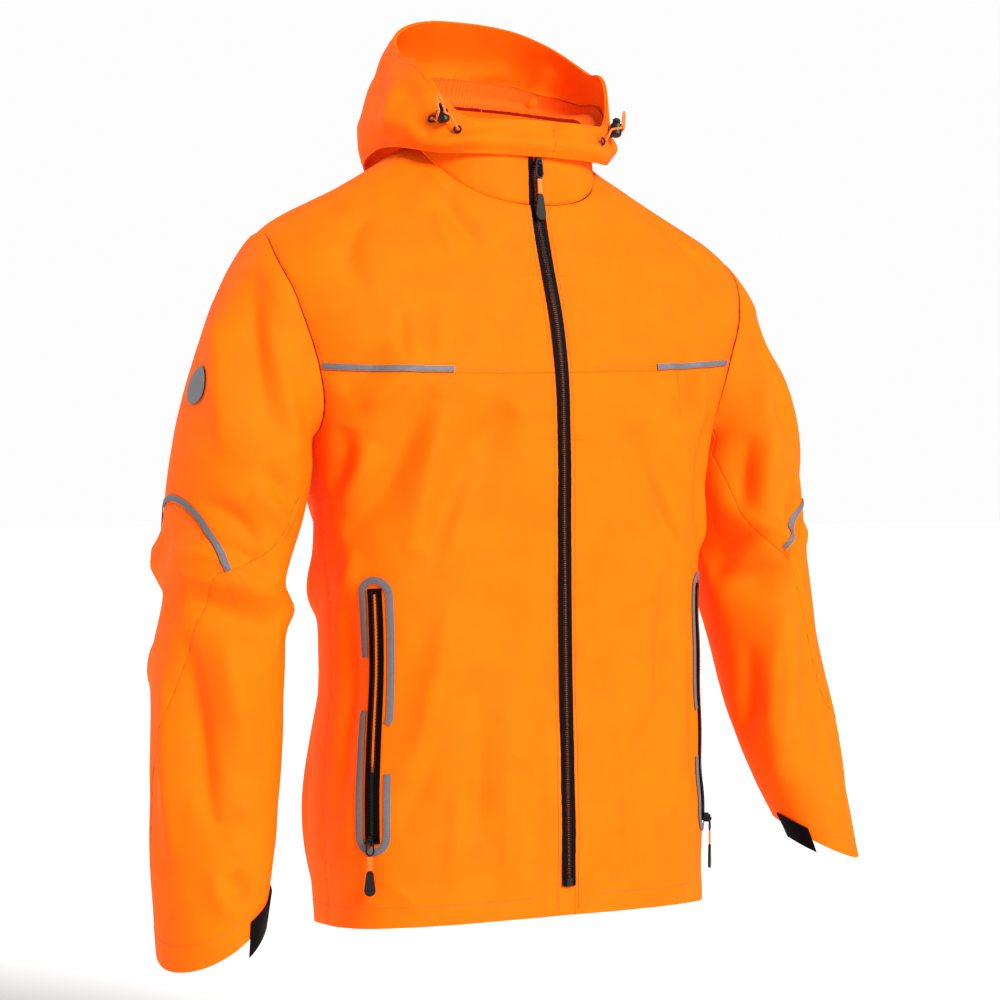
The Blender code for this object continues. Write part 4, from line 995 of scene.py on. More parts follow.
@dataclass(frozen=True)
class BodyCut:
    """Maps shares of a body panel to places on the body."""

    side: Side | None       # None for the back
    low: float
    high: float
    zip_half: float = 0.0078

    def __call__(self, u: Array, v: Array) -> tuple[Array, Array]:
        """Angles and levels of shares across (from the zip or the left side) and up."""
        rows = body_levels(self.low, self.high)
        level = np.interp(v, np.linspace(0, 1, len(rows)), rows)
        if self.side is None:
            start, end = 90 + ARMHOLE_BACK * opening(level), 270 - ARMHOLE_BACK * opening(level)
        else:
            start = BODY.turn_at(level, self.side.value * (self.zip_half + SEAM_GAP / 2))
            end = self.side.value * (90 - ARMHOLE_FRONT * opening(level))
        return start + (end - start) * u, level


@dataclass(frozen=True)
class StripSeam:
    """The seam under a sleeve's reflective strip, lowest on the inner side."""

    drop: float             # how much lower it lies a quarter turn away
    twist: float            # how far the sleeve's seams are turned to the front

    def share(self, row: Array, turn: Array) -> Array:
        """Where a row lies along the sleeve at an angle."""
        seam = 0.365 + self.drop * (1 - np.maximum(np.sin(np.radians(turn + self.twist)), -0.2))
        return np.where(row <= 7, seam * row / 7, seam + (1 - seam) * (row - 7) / 7)


STRIP_SEAMS = {Side.RIGHT: StripSeam(0.210, 0.0), Side.LEFT: StripSeam(0.150, 35.0)}


@dataclass(frozen=True)
class SleeveCut:
    """Maps shares of a sleeve panel to places on the sleeve."""

    seam: StripSeam
    outer: bool
    low: float              # first and last row; row 7 is the seam under the reflective strip
    high: float
    front_seam: tuple[tuple[float, float], ...] = ((0.0, -68.0), (0.15, -60.0), (0.31, -18.0),
                                                   (0.40, 8.0), (0.50, 34.0), (0.62, 54.0), (0.74, 76.0),
                                                   (0.80, 100.0), (1.0, 112.0))
    back_seam: tuple[tuple[float, float], ...] = ((0.0, 248.0), (0.30, 215.0), (0.60, 185.0),
                                                  (0.80, 162.0), (1.0, 150.0))

    def __call__(self, u: Array, v: Array) -> tuple[Array, Array]:
        """Angles and shares of length, for shares across and along from low row to high."""
        row = self.low + (self.high - self.low) * v
        nominal = np.where(row <= 7, 0.480 * row / 7, 0.480 + 0.520 * (row - 7) / 7)
        front = np.interp(nominal, *zip(*self.front_seam))
        back = np.interp(nominal, *zip(*self.back_seam))
        start, end = (front, back) if self.outer else (back, front + 360)
        turn = start + (end - start) * u - self.seam.twist * soft_step(row / 7)
        return turn, self.seam.share(row, turn)


@dataclass(frozen=True)
class HoodCut:
    """Maps shares of a hood panel to places on the hood."""

    start: float | None     # angles; None is the front joint
    end: float
    low: float = 0.0
    high: float = 4.0
    joint_x: float = 0.018

    def __call__(self, u: Array, v: Array) -> tuple[Array, Array]:
        """Angles and levels of shares round and up."""
        level = self.low + (self.high - self.low) * v
        start = HOOD.turn_at(level, np.full_like(level, self.joint_x)) if self.start is None else self.start
        return start + (self.end - start) * u, level


@dataclass(frozen=True)
class PlainCut:
    """Maps shares straight to a range of angles and levels."""

    start: float
    end: float
    low: float
    high: float

    def __call__(self, u: Array, v: Array) -> tuple[Array, Array]:
        """Angles and levels of shares across and up."""
        return self.start + (self.end - self.start) * u, self.low + (self.high - self.low) * v


# ---- the jacket's pieces ------------------------------------------------------------
@dataclass
class Jacket:
    """The jacket's cloths with their folds, shared by everything laid on them."""

    calm: tuple[tuple[tuple[float, float, float], float], ...] = (
        ((0.0, -0.066, 0.008), 0.034), ((-0.198, -0.073, -0.672), 0.042),
        ((0.198, -0.073, -0.672), 0.042))
    hood_calm: tuple[tuple[tuple[float, float, float], float], ...] = (
        ((-0.094, -0.030, 0.078), 0.034), ((0.100, -0.030, 0.078), 0.034))

    def __post_init__(self) -> None:
        """Join each form with its folds."""
        holes = {side: form.armhole(np.linspace(0.0, 360.0, 72)) for side, form in SLEEVES.items()}
        self.body = Cloth(BODY, Folds(BODY, BODY_CREASES, self.calm, still=tuple(holes.values())))
        self.sleeves = {side: Cloth(form, Folds(form, SLEEVE_CREASES[side], seed=5 + side.value,
                                                still=(holes[side],)), -side.value)
                        for side, form in SLEEVES.items()}
        self.hood = Cloth(HOOD, Folds(HOOD, HOOD_CREASES, self.hood_calm, drift=0.0012, seed=9))
        self.collar = Cloth(COLLAR, Folds(COLLAR, (), self.calm, drift=0.0005, seed=11))
        self.lining = Cloth(LiningForm(), Folds(LiningForm(), (), drift=0.0010, seed=12))


@dataclass
class ClothPanels:
    """Every cut and sewn piece of cloth."""

    jacket: Jacket
    wardrobe: Wardrobe
    inside: float = 0.0020          # how far the facing lies behind the hood's middle
    facing_level: float = 8 / 3
    inside_left: float = 2 / 12     # shares of the hood's halves that the inner layers leave bare
    inside_right: float = 2 / 13
    hood_seam: float = 163.0

    def panels(self) -> list[Panel]:
        """List the pieces with their cuts."""
        jacket = self.jacket
        rows = [Panel("back", jacket.body, BodyCut(None, 0.0, NECK), "lrt",
                      rests_on=("yoke_left", "yoke_right"))]
        for side in Side:
            word = side.word
            arm, seam = jacket.sleeves[side], STRIP_SEAMS[side]
            rows += [
                Panel("front_" + word, jacket.body, BodyCut(side, 0.0, YOKE), "lrt",
                      rests_on=("yoke_" + word,)),
                Panel("yoke_" + word, jacket.body, BodyCut(side, YOKE, NECK), "lrbt", rests_on=("back",)),
                Panel("sleeve_upper_" + word, arm, SleeveCut(seam, True, 0, 7), "lrbt",
                      rests_on=("yoke_" + word, "back")),
                Panel("sleeve_lower_" + word, arm, SleeveCut(seam, True, 7, 14), "lrb",
                      rests_on=("sleeve_upper_" + word,)),
                Panel("sleeve_under_" + word, arm, SleeveCut(seam, False, 0, 14), "lrb",
                      rests_on=("front_" + word, "back")),
            ]
        rows += self.hood_panels()
        return rows

    def hood_panels(self) -> list[Panel]:
        """List the pieces of hood and collar."""
        jacket, seam = self.jacket, self.hood_seam
        joint = float(HOOD.turn_at(np.array(self.facing_level), np.array(0.018)))
        left = joint + (seam - joint) * self.inside_left
        right = 360 + joint - (seam + joint) * self.inside_right
        zip_edge = float(COLLAR.turn_at(np.array(0.0), np.array(0.0078 + SEAM_GAP)))
        return [
            Panel("collar", jacket.collar, PlainCut(zip_edge, 360 - zip_edge, 0.0, 1.0), "lrb",
                  rests_on=("yoke_left", "yoke_right", "back")),
            Panel("hood_left", jacket.hood, HoodCut(None, seam), "lr", rests_on=("collar",)),
            Panel("hood_right", jacket.hood, HoodCut(None, -seam), "lr", rests_on=("collar",)),
            Panel("hood_back", jacket.hood, PlainCut(seam, 360 - seam, 0.0, 4.0), "lr", rests_on=("collar",)),
            Panel("hood_facing", jacket.hood, PlainCut(left, right, self.facing_level, 4.0), "lrb",
                  move=-self.inside, rests_on=("hood_left", "hood_right")),
            Panel("hood_lining", jacket.lining, PlainCut(left, right, 0.0, 3.0), "lrbt",
                  thickness=LINING_CLOTH, slot=Slot.MESH, rests_on=("hood_facing", "collar")),
        ]

    def build(self) -> None:
        """Lay every piece."""
        for panel in self.panels():
            finish = self.wardrobe.mesh if panel.slot is Slot.MESH else self.wardrobe.shell
            panel.build(finish)


def ride_root(obj: bpy.types.Object, slot: Slot, *nodes: str) -> bpy.types.Object:
    """Fix a piece to the jacket in place of CAD nodes and log its face count."""
    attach(obj, "root")
    if nodes:
        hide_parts(*nodes)
    log.info("%s: %d faces", obj.name, len(obj.data.polygons))
    return obj


@dataclass
class Tape:
    """A flat tape laid on folded cloth along a line of places."""

    node: str
    cloth: Cloth
    line: list[tuple[float, float]]
    width: float
    slot: Slot = Slot.TAPE
    thickness: float = TRIM_CLOTH
    proud: float = CLOTH / 2 + 0.0007       # its inner face's height over the cloth's middle
    crown: float = 0.00035                  # how much its middle stands over its edges
    step: float = 0.0030
    across: int = 6
    extra: bool = False                     # True for a tape with no solid of its own

    def build(self, finish: bpy.types.Material) -> bpy.types.Object:
        """Lay the tape.

        Args:
            finish: The tape's material.
        Returns:
            The finished piece.
        """
        table = Table(tuple(self.line))
        fine = np.linspace(0, len(self.line) - 1, 400)
        middle = self.cloth.form.point(*table.read(fine))
        run = np.concatenate([[0], np.cumsum(np.linalg.norm(np.diff(middle, axis=0), axis=1))])
        count = max(int(run[-1] / self.step), 6)
        turn, level = table.read(np.interp(np.linspace(0, run[-1], count + 1), run, fine))
        flat = self.cloth.form.point(turn, level)
        away = normals(self.cloth.form, turn, level, self.cloth.sign)
        aside = unit(np.cross(away, np.gradient(flat, axis=0)))
        share = np.linspace(-0.5, 0.5, self.across + 1)
        spots = flat[:, None] + aside[:, None] * (share * self.width)[None, :, None]
        rise = self.cloth.folds.height(spots.reshape(-1, 3)).reshape(spots.shape[:2])
        rise = rise + self.proud + self.crown * (1 - (2 * share) ** 2)[None]
        points = spots + away[:, None] * rise[..., None]
        bm = bmesh.new()
        bmesh.ops.create_grid(bm, x_segments=self.across, y_segments=count, size=0.5)
        cut = bm.loops.layers.uv.new("cut")
        for vert in bm.verts:
            i, j = round((vert.co.y + 0.5) * count), round((vert.co.x + 0.5) * self.across)
            for loop in vert.link_loops:
                loop[cut].uv = (share[j] * self.width, i * self.step)
            vert.co = points[i, j]
        orient(bm, points, -away)
        thicken(bm, self.thickness)
        obj = new_object(self.node + "_tape", bm, finish)
        return ride_root(obj, self.slot) if self.extra else ride_root(obj, self.slot, self.node)


def arc(centre: float, height: float, radius: float, start: float, end: float,
        steps: int) -> list[tuple[float, float]]:
    """Places of a circular arc: 0 degrees is towards the zip, 90 is up."""
    turns = np.radians(np.linspace(start, end, steps + 1))
    return [(centre + radius * cos(t), height + radius * sin(t)) for t in turns]


def column(x: float, start: float, end: float, steps: int) -> list[tuple[float, float]]:
    """Places of an upright line."""
    return [(x, z) for z in np.linspace(start, end, steps + 1)]


@dataclass
class Pocket:
    """A side pocket: two hooks of reflective piping that pass each other, and its zip between them."""

    side: Side
    jacket: Jacket
    wardrobe: Wardrobe
    turn: float = 61.0
    top: float = -0.408
    foot: float = -0.672
    half: float = 0.0142
    band: float = 0.0150
    piping: float = 0.0070
    leg: float = 0.062          # length of the piping's short legs
    slit: float = 0.0024        # width of the cloth that shows in the half open zip
    slit_share: float = 0.72    # share of the zip that is open

    def place(self, across: float, z: float) -> tuple[float, float]:
        """A body place beside the pocket's line; across is in metres towards the zip."""
        levels = np.linspace(0.0, YOKE, 1200)
        level = float(levels[np.abs(BODY.point(np.full(1200, self.turn), levels)[:, 2] - z).argmin()])
        ends = BODY.point(np.array([self.turn, self.turn - 1]), np.array([level, level]))
        step = float(np.linalg.norm(ends[0] - ends[1]))
        return self.side.value * (self.turn - across / step), level

    def line(self, places: list[tuple[float, float]]) -> list[tuple[float, float]]:
        """Body places of a line of (across, height) pairs."""
        return [self.place(across, z) for across, z in places]

    def build(self) -> None:
        """Lay the piping, the zip band and its coil."""
        half, word, body = self.half, self.side.word, self.jacket.body
        top, foot = self.top - half, self.foot + half
        middle = (top + foot) / 2
        upper = column(-half, top - self.leg, top - 0.014, 3) + arc(0.0, top, half, 180, 0, 8)
        upper += column(half, top - 0.020, middle - 0.002, 6) + [(half - 0.002, middle - 0.008)]
        lower = [(-half + 0.002, middle + 0.004)] + column(-half, middle - 0.002, foot + 0.020, 6)
        lower += arc(0.0, foot, half, 180, 360, 8) + column(half, foot + 0.014, foot + self.leg, 3)
        for label, places in (("upper", upper), ("lower", lower)):
            Tape(f"pocket_piping_{label}_{word}", body, self.line(places), self.piping,
                 proud=CLOTH / 2 + 0.0009).build(self.wardrobe.tape)
        ends = (self.top - 0.008, self.foot + 0.008)
        Tape("pocket_zip_" + word, body, self.line(column(0.0, *ends, 12)), self.band, Slot.ZIP,
             thickness=0.0013, proud=CLOTH / 2 + 0.0006, crown=0.0003).build(self.wardrobe.zip)
        slit_foot = ends[0] + (ends[1] - ends[0]) * self.slit_share
        slit = Tape("pocket_slit_" + word, body, self.line(column(0.0, ends[0] - 0.006, slit_foot, 8)),
                    self.slit,
                    Slot.SHELL, thickness=0.0004, proud=CLOTH / 2 + 0.0020, crown=0.0003, extra=True)
        slit.build(self.wardrobe.shell)
        self.build_coil(ends, slit_foot)

    def build_coil(self, ends: tuple[float, float], slit_foot: float, pitch: float = 0.0017,
                   tooth: float = 0.0018) -> None:
        """Lay the pocket zip's two rows of teeth, which meet below the open part, as one piece."""
        count = int((ends[0] - ends[1] - 0.008) / pitch)
        heights = np.linspace(ends[0] - 0.004, ends[1] + 0.004, count)
        places = [self.place(0.0, z) for z in (ends[0], (ends[0] + ends[1]) / 2, ends[1])]
        turn = np.interp(-heights, [-ends[0], -(ends[0] + ends[1]) / 2, -ends[1]], [p[0] for p in places])
        levels = np.linspace(0.0, YOKE, 1200)
        tall = BODY.point(np.full(1200, places[1][0]), levels)[:, 2]
        level = np.interp(heights, tall, levels)
        spots = self.jacket.body.place(turn, level, CLOTH / 2 + 0.0026)
        away = normals(BODY, turn, level)
        aside = unit(np.cross(away, np.array([0.0, 0.0, 1.0])))
        apart = tooth * 0.45 + self.slit / 2 * soft_step((heights - slit_foot) / 0.012)
        bm = bmesh.new()
        for hand in (-1, 1):
            rows = spots + aside * (hand * apart)[:, None]
            add_teeth(bm, rows, away, Vector((0, 0, 1)), (tooth, pitch * 0.62, 0.0008))
        obj = new_object("pocket_coil_" + self.side.word, bm, self.wardrobe.plastic)
        ride_root(obj, Slot.PLASTIC)


def add_teeth(bm: bmesh.types.BMesh, spots: Array, away: Array, up: Vector,
              size: tuple[float, float, float]) -> None:
    """Add a rounded block at each spot.

    Args:
        bm: Mesh that receives the blocks.
        spots: Centres.
        away: Outward directions.
        up: Direction along the row.
        size: Width across the row, length along it and depth.
    """
    for number, (spot, out) in enumerate(zip(spots, away)):
        out = Vector(out)
        aside = up.cross(out).normalized()
        along = out.cross(aside)
        frame = Matrix((aside * size[0], along * size[1], out * size[2])).transposed().to_4x4()
        shift = aside * (0.00025 if number % 2 else -0.00025)
        frame.translation = Vector(spot) + shift
        bmesh.ops.create_cube(bm, size=1.0, matrix=frame)


class FrontLine:
    """The line of the front opening: x is metres to the left of the middle, level runs to 9 on the
    body and on to 10 on the collar."""

    def point(self, x: Array, level: Array) -> Array:
        """Place points beside the front line."""
        x, level = np.broadcast_arrays(np.asarray(x, float), np.asarray(level, float))
        low = BODY.point(np.zeros_like(level), np.minimum(level, NECK))
        high = COLLAR.point(np.zeros_like(level), np.clip(level - NECK, 0.0, 1.0))
        points = np.where((level > NECK)[..., None], high, low)
        points[..., 0] = x
        return points


class FrontOut:
    """Outward directions of the front line, which leans only back and forth."""

    @staticmethod
    def at(level: Array) -> Array:
        """Unit vectors across the front line at body levels."""
        line = FrontLine()
        run = line.point(0.0, np.clip(level + 0.05, 0, 10)) - line.point(0.0, np.clip(level - 0.05, 0, 10))
        return unit(np.cross(np.array([1.0, 0.0, 0.0]), run))


@dataclass
class FrontZip:
    """The front zip: two tapes, moulded teeth, end stops and the wind flap behind."""

    jacket: Jacket
    wardrobe: Wardrobe
    foot: float = 0.30
    edge: float = 0.0075
    coil_half: float = 0.0021
    pitch: float = 0.0021
    flap_half: float = 0.016
    flap_back: float = 0.0040

    def strip(self, name: str, left: float, right: float, depth: float, thickness: float, start: float,
              finish: bpy.types.Material, wave: float = 0.0) -> bpy.types.Object:
        """Lay a flat strip down the front.

        Args:
            name: Object name.
            left: Its right-hand border as worn, metres from the middle.
            right: Its other border.
            depth: Height of its outer face over the front line.
            thickness: Thickness of the strip.
            start: Body level of its lower end.
            finish: Material.
            wave: Height of the slow unevenness along it.
        Returns:
            The strip.
        """
        levels = np.concatenate([np.linspace(start, NECK, 170), np.linspace(NECK, 10.0, 14)[1:]])
        across = np.linspace(left, right, 6)
        x, level = np.meshgrid(across, levels)
        swing = wave * np.sin(level * 4.1 + 0.6) * np.sin(level * 1.7)
        points = FrontLine().point(x, level) + FrontOut.at(level) * (depth + swing)[..., None]
        bm = bmesh.new()
        bmesh.ops.create_grid(bm, x_segments=len(across) - 1, y_segments=len(levels) - 1, size=0.5)
        cut = bm.loops.layers.uv.new("cut")
        for vert in bm.verts:
            i, j = round((vert.co.y + 0.5) * (len(levels) - 1)), round((vert.co.x + 0.5) * (len(across) - 1))
            for loop in vert.link_loops:
                loop[cut].uv = (across[j], points[i, j][2])
            vert.co = points[i, j]
        orient(bm, points, np.array([[0.0, -1.0, 0.0]] * len(levels)))
        thicken(bm, thickness)
        return new_object(name, bm, finish)

    def build(self) -> None:
        """Lay tapes, teeth and flap."""
        for side in Side:
            borders = sorted((side.value * (self.coil_half + SEAM_GAP), side.value * self.edge))
            tape = self.strip("zip_tape_" + side.word + "_woven", *borders, 0.0004, 0.0012, self.foot,
                              self.wardrobe.zip, 0.0002)
            ride_root(tape, Slot.ZIP, "zip_tape_" + side.word)
        flap = self.strip("wind_flap_cloth", -self.flap_half, self.flap_half, -self.flap_back + CLOTH, CLOTH,
                          0.0, self.wardrobe.shell, 0.0004)
        ride_root(flap, Slot.SHELL, "wind_flap")
        self.build_teeth()

    def build_teeth(self) -> None:
        """Lay the closed teeth down the whole front, with a box at the foot."""
        levels = np.concatenate([np.linspace(self.foot, NECK, 900), np.linspace(NECK, 10.0, 80)[1:]])
        line = FrontLine().point(0.0, levels)
        run = np.concatenate([[0], np.cumsum(np.linalg.norm(np.diff(line, axis=0), axis=1))])
        level = np.interp(np.arange(0.006, run[-1] - 0.003, self.pitch), run, levels)
        bm = bmesh.new()
        spots = FrontLine().point(0.0, level) + FrontOut.at(level) * 0.0004
        tooth = (2 * self.coil_half - 0.0006, 0.0013, 0.0021)
        add_teeth(bm, spots, FrontOut.at(level), Vector((0, 0, 1)), tooth)
        foot = np.array([self.foot + 0.02, self.foot + 0.055])
        add_teeth(bm, FrontLine().point(0.0, foot) + FrontOut.at(foot) * 0.0003, FrontOut.at(foot),
                  Vector((0, 0, 1)), (0.0066, 0.0050, 0.0026))
        bmesh.ops.bevel(bm, geom=bm.edges[:], offset=0.00025, segments=1, affect="EDGES", profile=0.5,
                         material=-1)
        ride_root(new_object("zip_teeth", bm, self.wardrobe.plastic, 30), Slot.PLASTIC, "zip_coil")


@dataclass
class Trims:
    """Reflective strips, the sleeve's round patch and the cuff tabs."""

    chest_turns = {Side.RIGHT: (65.5, 22.0), Side.LEFT: (58.0, 21.0)}
    sleeve_turns = {Side.RIGHT: (150.0, 26.0), Side.LEFT: (118.0, -6.0)}
    tab_turns = {Side.RIGHT: (-76.0, -14.0), Side.LEFT: (-88.0, -44.0)}

    jacket: Jacket
    wardrobe: Wardrobe
    strip_width: float = 0.0058
    strip_lift: float = 0.062
    badge_turn: float = 80.0
    badge_share: float = 0.200
    badge_radius: float = 0.0190

    def build(self) -> None:
        """Lay every trim."""
        for side in Side:
            word, arm = side.word, self.jacket.sleeves[side]
            seam = STRIP_SEAMS[side]
            chest = [(side.value * t, YOKE + self.strip_lift)
                     for t in np.linspace(*self.chest_turns[side], 7)]
            Tape("chest_strip_" + word, self.jacket.body, chest, self.strip_width).build(self.wardrobe.tape)
            turns = np.linspace(*self.sleeve_turns[side], 9)
            shares = seam.share(np.full(9, 7.0), turns) - 0.010
            Tape("sleeve_strip_" + word, arm, list(zip(turns, shares)),
                 self.strip_width).build(self.wardrobe.tape)
            self.build_tab(side)
        self.build_badge()

    def build_badge(self) -> None:
        """Lay the bare round patch on the right upper sleeve, with a raised stitched rim."""
        arm = self.jacket.sleeves[Side.RIGHT]
        centre = arm.form.point(np.array([self.badge_turn]), np.array([self.badge_share]))[0]
        out = arm.out(self.badge_turn, self.badge_share)
        above = arm.form.point(np.array([self.badge_turn]), np.array([self.badge_share - 0.02]))[0]
        up = unit(above - centre - out * ((above - centre) @ out))
        aside = np.cross(out, up)
        turns, shares = np.meshgrid(np.linspace(self.badge_turn - 34, self.badge_turn + 34, 61),
                                    np.linspace(self.badge_share - 0.06, self.badge_share + 0.06, 61))
        cloth = arm.place(turns, shares).reshape(-1, 3) - centre
        flat = np.stack([cloth @ aside, cloth @ up, cloth @ out], axis=-1)
        bm = bmesh.new()
        bmesh.ops.create_circle(bm, cap_ends=True, cap_tris=False, radius=self.badge_radius, segments=48)
        bm.faces.ensure_lookup_table()
        inner = bm.faces[0]
        for inset in (0.0009, 0.0010, 0.0008, 0.0050, 0.0060):
            bmesh.ops.inset_region(bm, faces=[inner], thickness=inset, use_even_offset=True)
        for vert in bm.verts:
            radius = vert.co.length
            near = np.argsort(np.hypot(flat[:, 0] - vert.co.x, flat[:, 1] - vert.co.y))[:6]
            height = float(flat[near, 2].mean())
            edge = self.badge_radius - radius
            height += CLOTH / 2 + 0.0016 + 0.0004 * np.exp(-((edge - 0.0012) / 0.0008) ** 2)
            vert.co = centre + aside * vert.co.x + up * vert.co.y + out * height
        bm.normal_update()
        if inner.normal.dot(Vector(out)) > 0:
            bmesh.ops.reverse_faces(bm, faces=bm.faces[:])
        thicken(bm, TRIM_CLOTH)
        ride_root(new_object("sleeve_badge_patch", bm, self.wardrobe.tape), Slot.TAPE, "sleeve_badge")

    def build_tab(self, side: Side) -> None:
        """Lay a cuff tab under the sleeve's end, its border raised by its seam."""
        arm = self.jacket.sleeves[side]
        u, v = np.meshgrid(np.linspace(0, 1, 33), np.linspace(0, 1, 17))
        start, end = self.tab_turns[side]
        turn, share = start + (end - start) * u, 0.972 + 0.054 * v
        rim = np.minimum(np.minimum(u, 1 - u) * 0.060, np.minimum(v, 1 - v) * 0.030)
        lift = 0.0018 - 0.0003 * np.exp(-((rim - 0.003) / 0.0012) ** 2)
        points = arm.place(turn, share, lift)
        away = normals(arm.form, turn, share, arm.sign)
        bm = bmesh.new()
        bmesh.ops.create_grid(bm, x_segments=32, y_segments=16, size=0.5)
        for vert in bm.verts:
            i, j = round((vert.co.y + 0.5) * 16), round((vert.co.x + 0.5) * 32)
            vert.co = points[i, j]
        orient(bm, points, -away)
        thicken(bm, 0.0018)
        obj = new_object("cuff_tab_" + side.word + "_strap", bm, self.wardrobe.zip)
        ride_root(obj, Slot.TAB, "cuff_tab_" + side.word)


@dataclass
class Stitching:
    """Rows of topstitching, each stitch a small thread bar, joined into one piece per row."""

    jacket: Jacket
    wardrobe: Wardrobe
    length: float = 0.0030
    gap: float = 0.0012
    thread: float = 0.00045

    def row(self, name: str, cloth: Cloth, line: list[tuple[float, float]],
            lift: float = CLOTH / 2 + 0.00012) -> None:
        """Sew one row.

        Args:
            name: Object name.
            cloth: Cloth that is sewn.
            line: Places along the row.
            lift: Height of the threads' middle over the cloth's middle.
        """
        table = Table(tuple(line))
        fine = np.linspace(0, len(line) - 1, 600)
        flat = cloth.form.point(*table.read(fine))
        run = np.concatenate([[0], np.cumsum(np.linalg.norm(np.diff(flat, axis=0), axis=1))])
        pitch = self.length + self.gap
        starts = np.arange(pitch / 2, run[-1] - pitch / 2, pitch)
        ends = [cloth.place(*table.read(np.interp(starts + s * self.length / 2, run, fine)), lift)
                for s in (-1, 1)]
        middle = table.read(np.interp(starts, run, fine))
        away = normals(cloth.form, *middle, cloth.sign)
        bm = bmesh.new()
        for one, two, out in zip(ends[0], ends[1], away):
            along = Vector(two - one)
            out = Vector(out)
            aside = along.normalized().cross(out).normalized()
            frame = Matrix((aside * self.thread, along, along.normalized().cross(aside) * self.thread))
            frame = frame.transposed().to_4x4()
            frame.translation = Vector((one + two) / 2)
            bmesh.ops.create_cube(bm, size=1.0, matrix=frame)
        bmesh.ops.recalc_face_normals(bm, faces=bm.faces)
        ride_root(new_object(name, bm, self.wardrobe.thread, 30), Slot.SHELL)

    def build(self) -> None:
        """Sew the rows that show."""
        body = self.jacket.body
        hem = [(t, 0.195) for t in np.linspace(5.5, 354.5, 60)]
        self.row("hem_stitch", body, hem)
        for side in Side:
            word, sign = side.word, side.value
            inner = [float(BODY.turn_at(np.array(b), np.array(sign * 0.0118)))
                     for b in np.linspace(0.05, 8.9, 40)]
            self.row("zip_stitch_" + word, body, list(zip(inner, np.linspace(0.05, 8.9, 40))))
            edge = sign * (90 - ARMHOLE_FRONT * float(opening(np.array(5.08))))
            self.row("yoke_stitch_" + word, body,
                     [(t, 5.075) for t in np.linspace(sign * 5, edge - sign, 16)])
            self.row("shoulder_stitch_" + word, body, [(sign * 87.5, b) for b in np.linspace(7.1, 8.9, 10)])
            angles = np.radians(np.linspace(-80, 260, 50))
            level = 5.5 + 1.5 * np.sin(angles) * 1.0
            reach = np.where(np.cos(angles) > 0, ARMHOLE_FRONT + 2.4, ARMHOLE_BACK + 2.4)
            ring = [(sign * (90 - r * cos(a)), float(b)) for r, a, b in zip(reach, angles, level)]
            ring = [place for place in ring if 4.35 < place[1] < 6.8]
            front = [p for p in ring if abs(p[0]) < 90]
            back = [p for p in ring if abs(p[0]) >= 90]
            self.row("armhole_front_stitch_" + word, body, front)
            self.row("armhole_back_stitch_" + word, body, back)
            arm = self.jacket.sleeves[side]
            turns = np.linspace(18, 158, 24)
            turns = turns - STRIP_SEAMS[side].twist
            seam = STRIP_SEAMS[side].share(np.full(24, 7.0), turns)
            self.row("sleeve_stitch_" + word, arm, list(zip(turns, seam + 0.010)))
            self.row("cuff_stitch_" + word, arm, [(t, 0.965) for t in np.linspace(-30, 262, 40)])
            self.row("hood_stitch_" + word, self.jacket.hood,
                     [(t, 0.30) for t in np.linspace(sign * 32, sign * 160, 30)])
            self.row("rim_stitch_" + word, self.jacket.hood,
                     [(t, 3.74) for t in np.linspace(sign * 20, sign * 160, 36)])


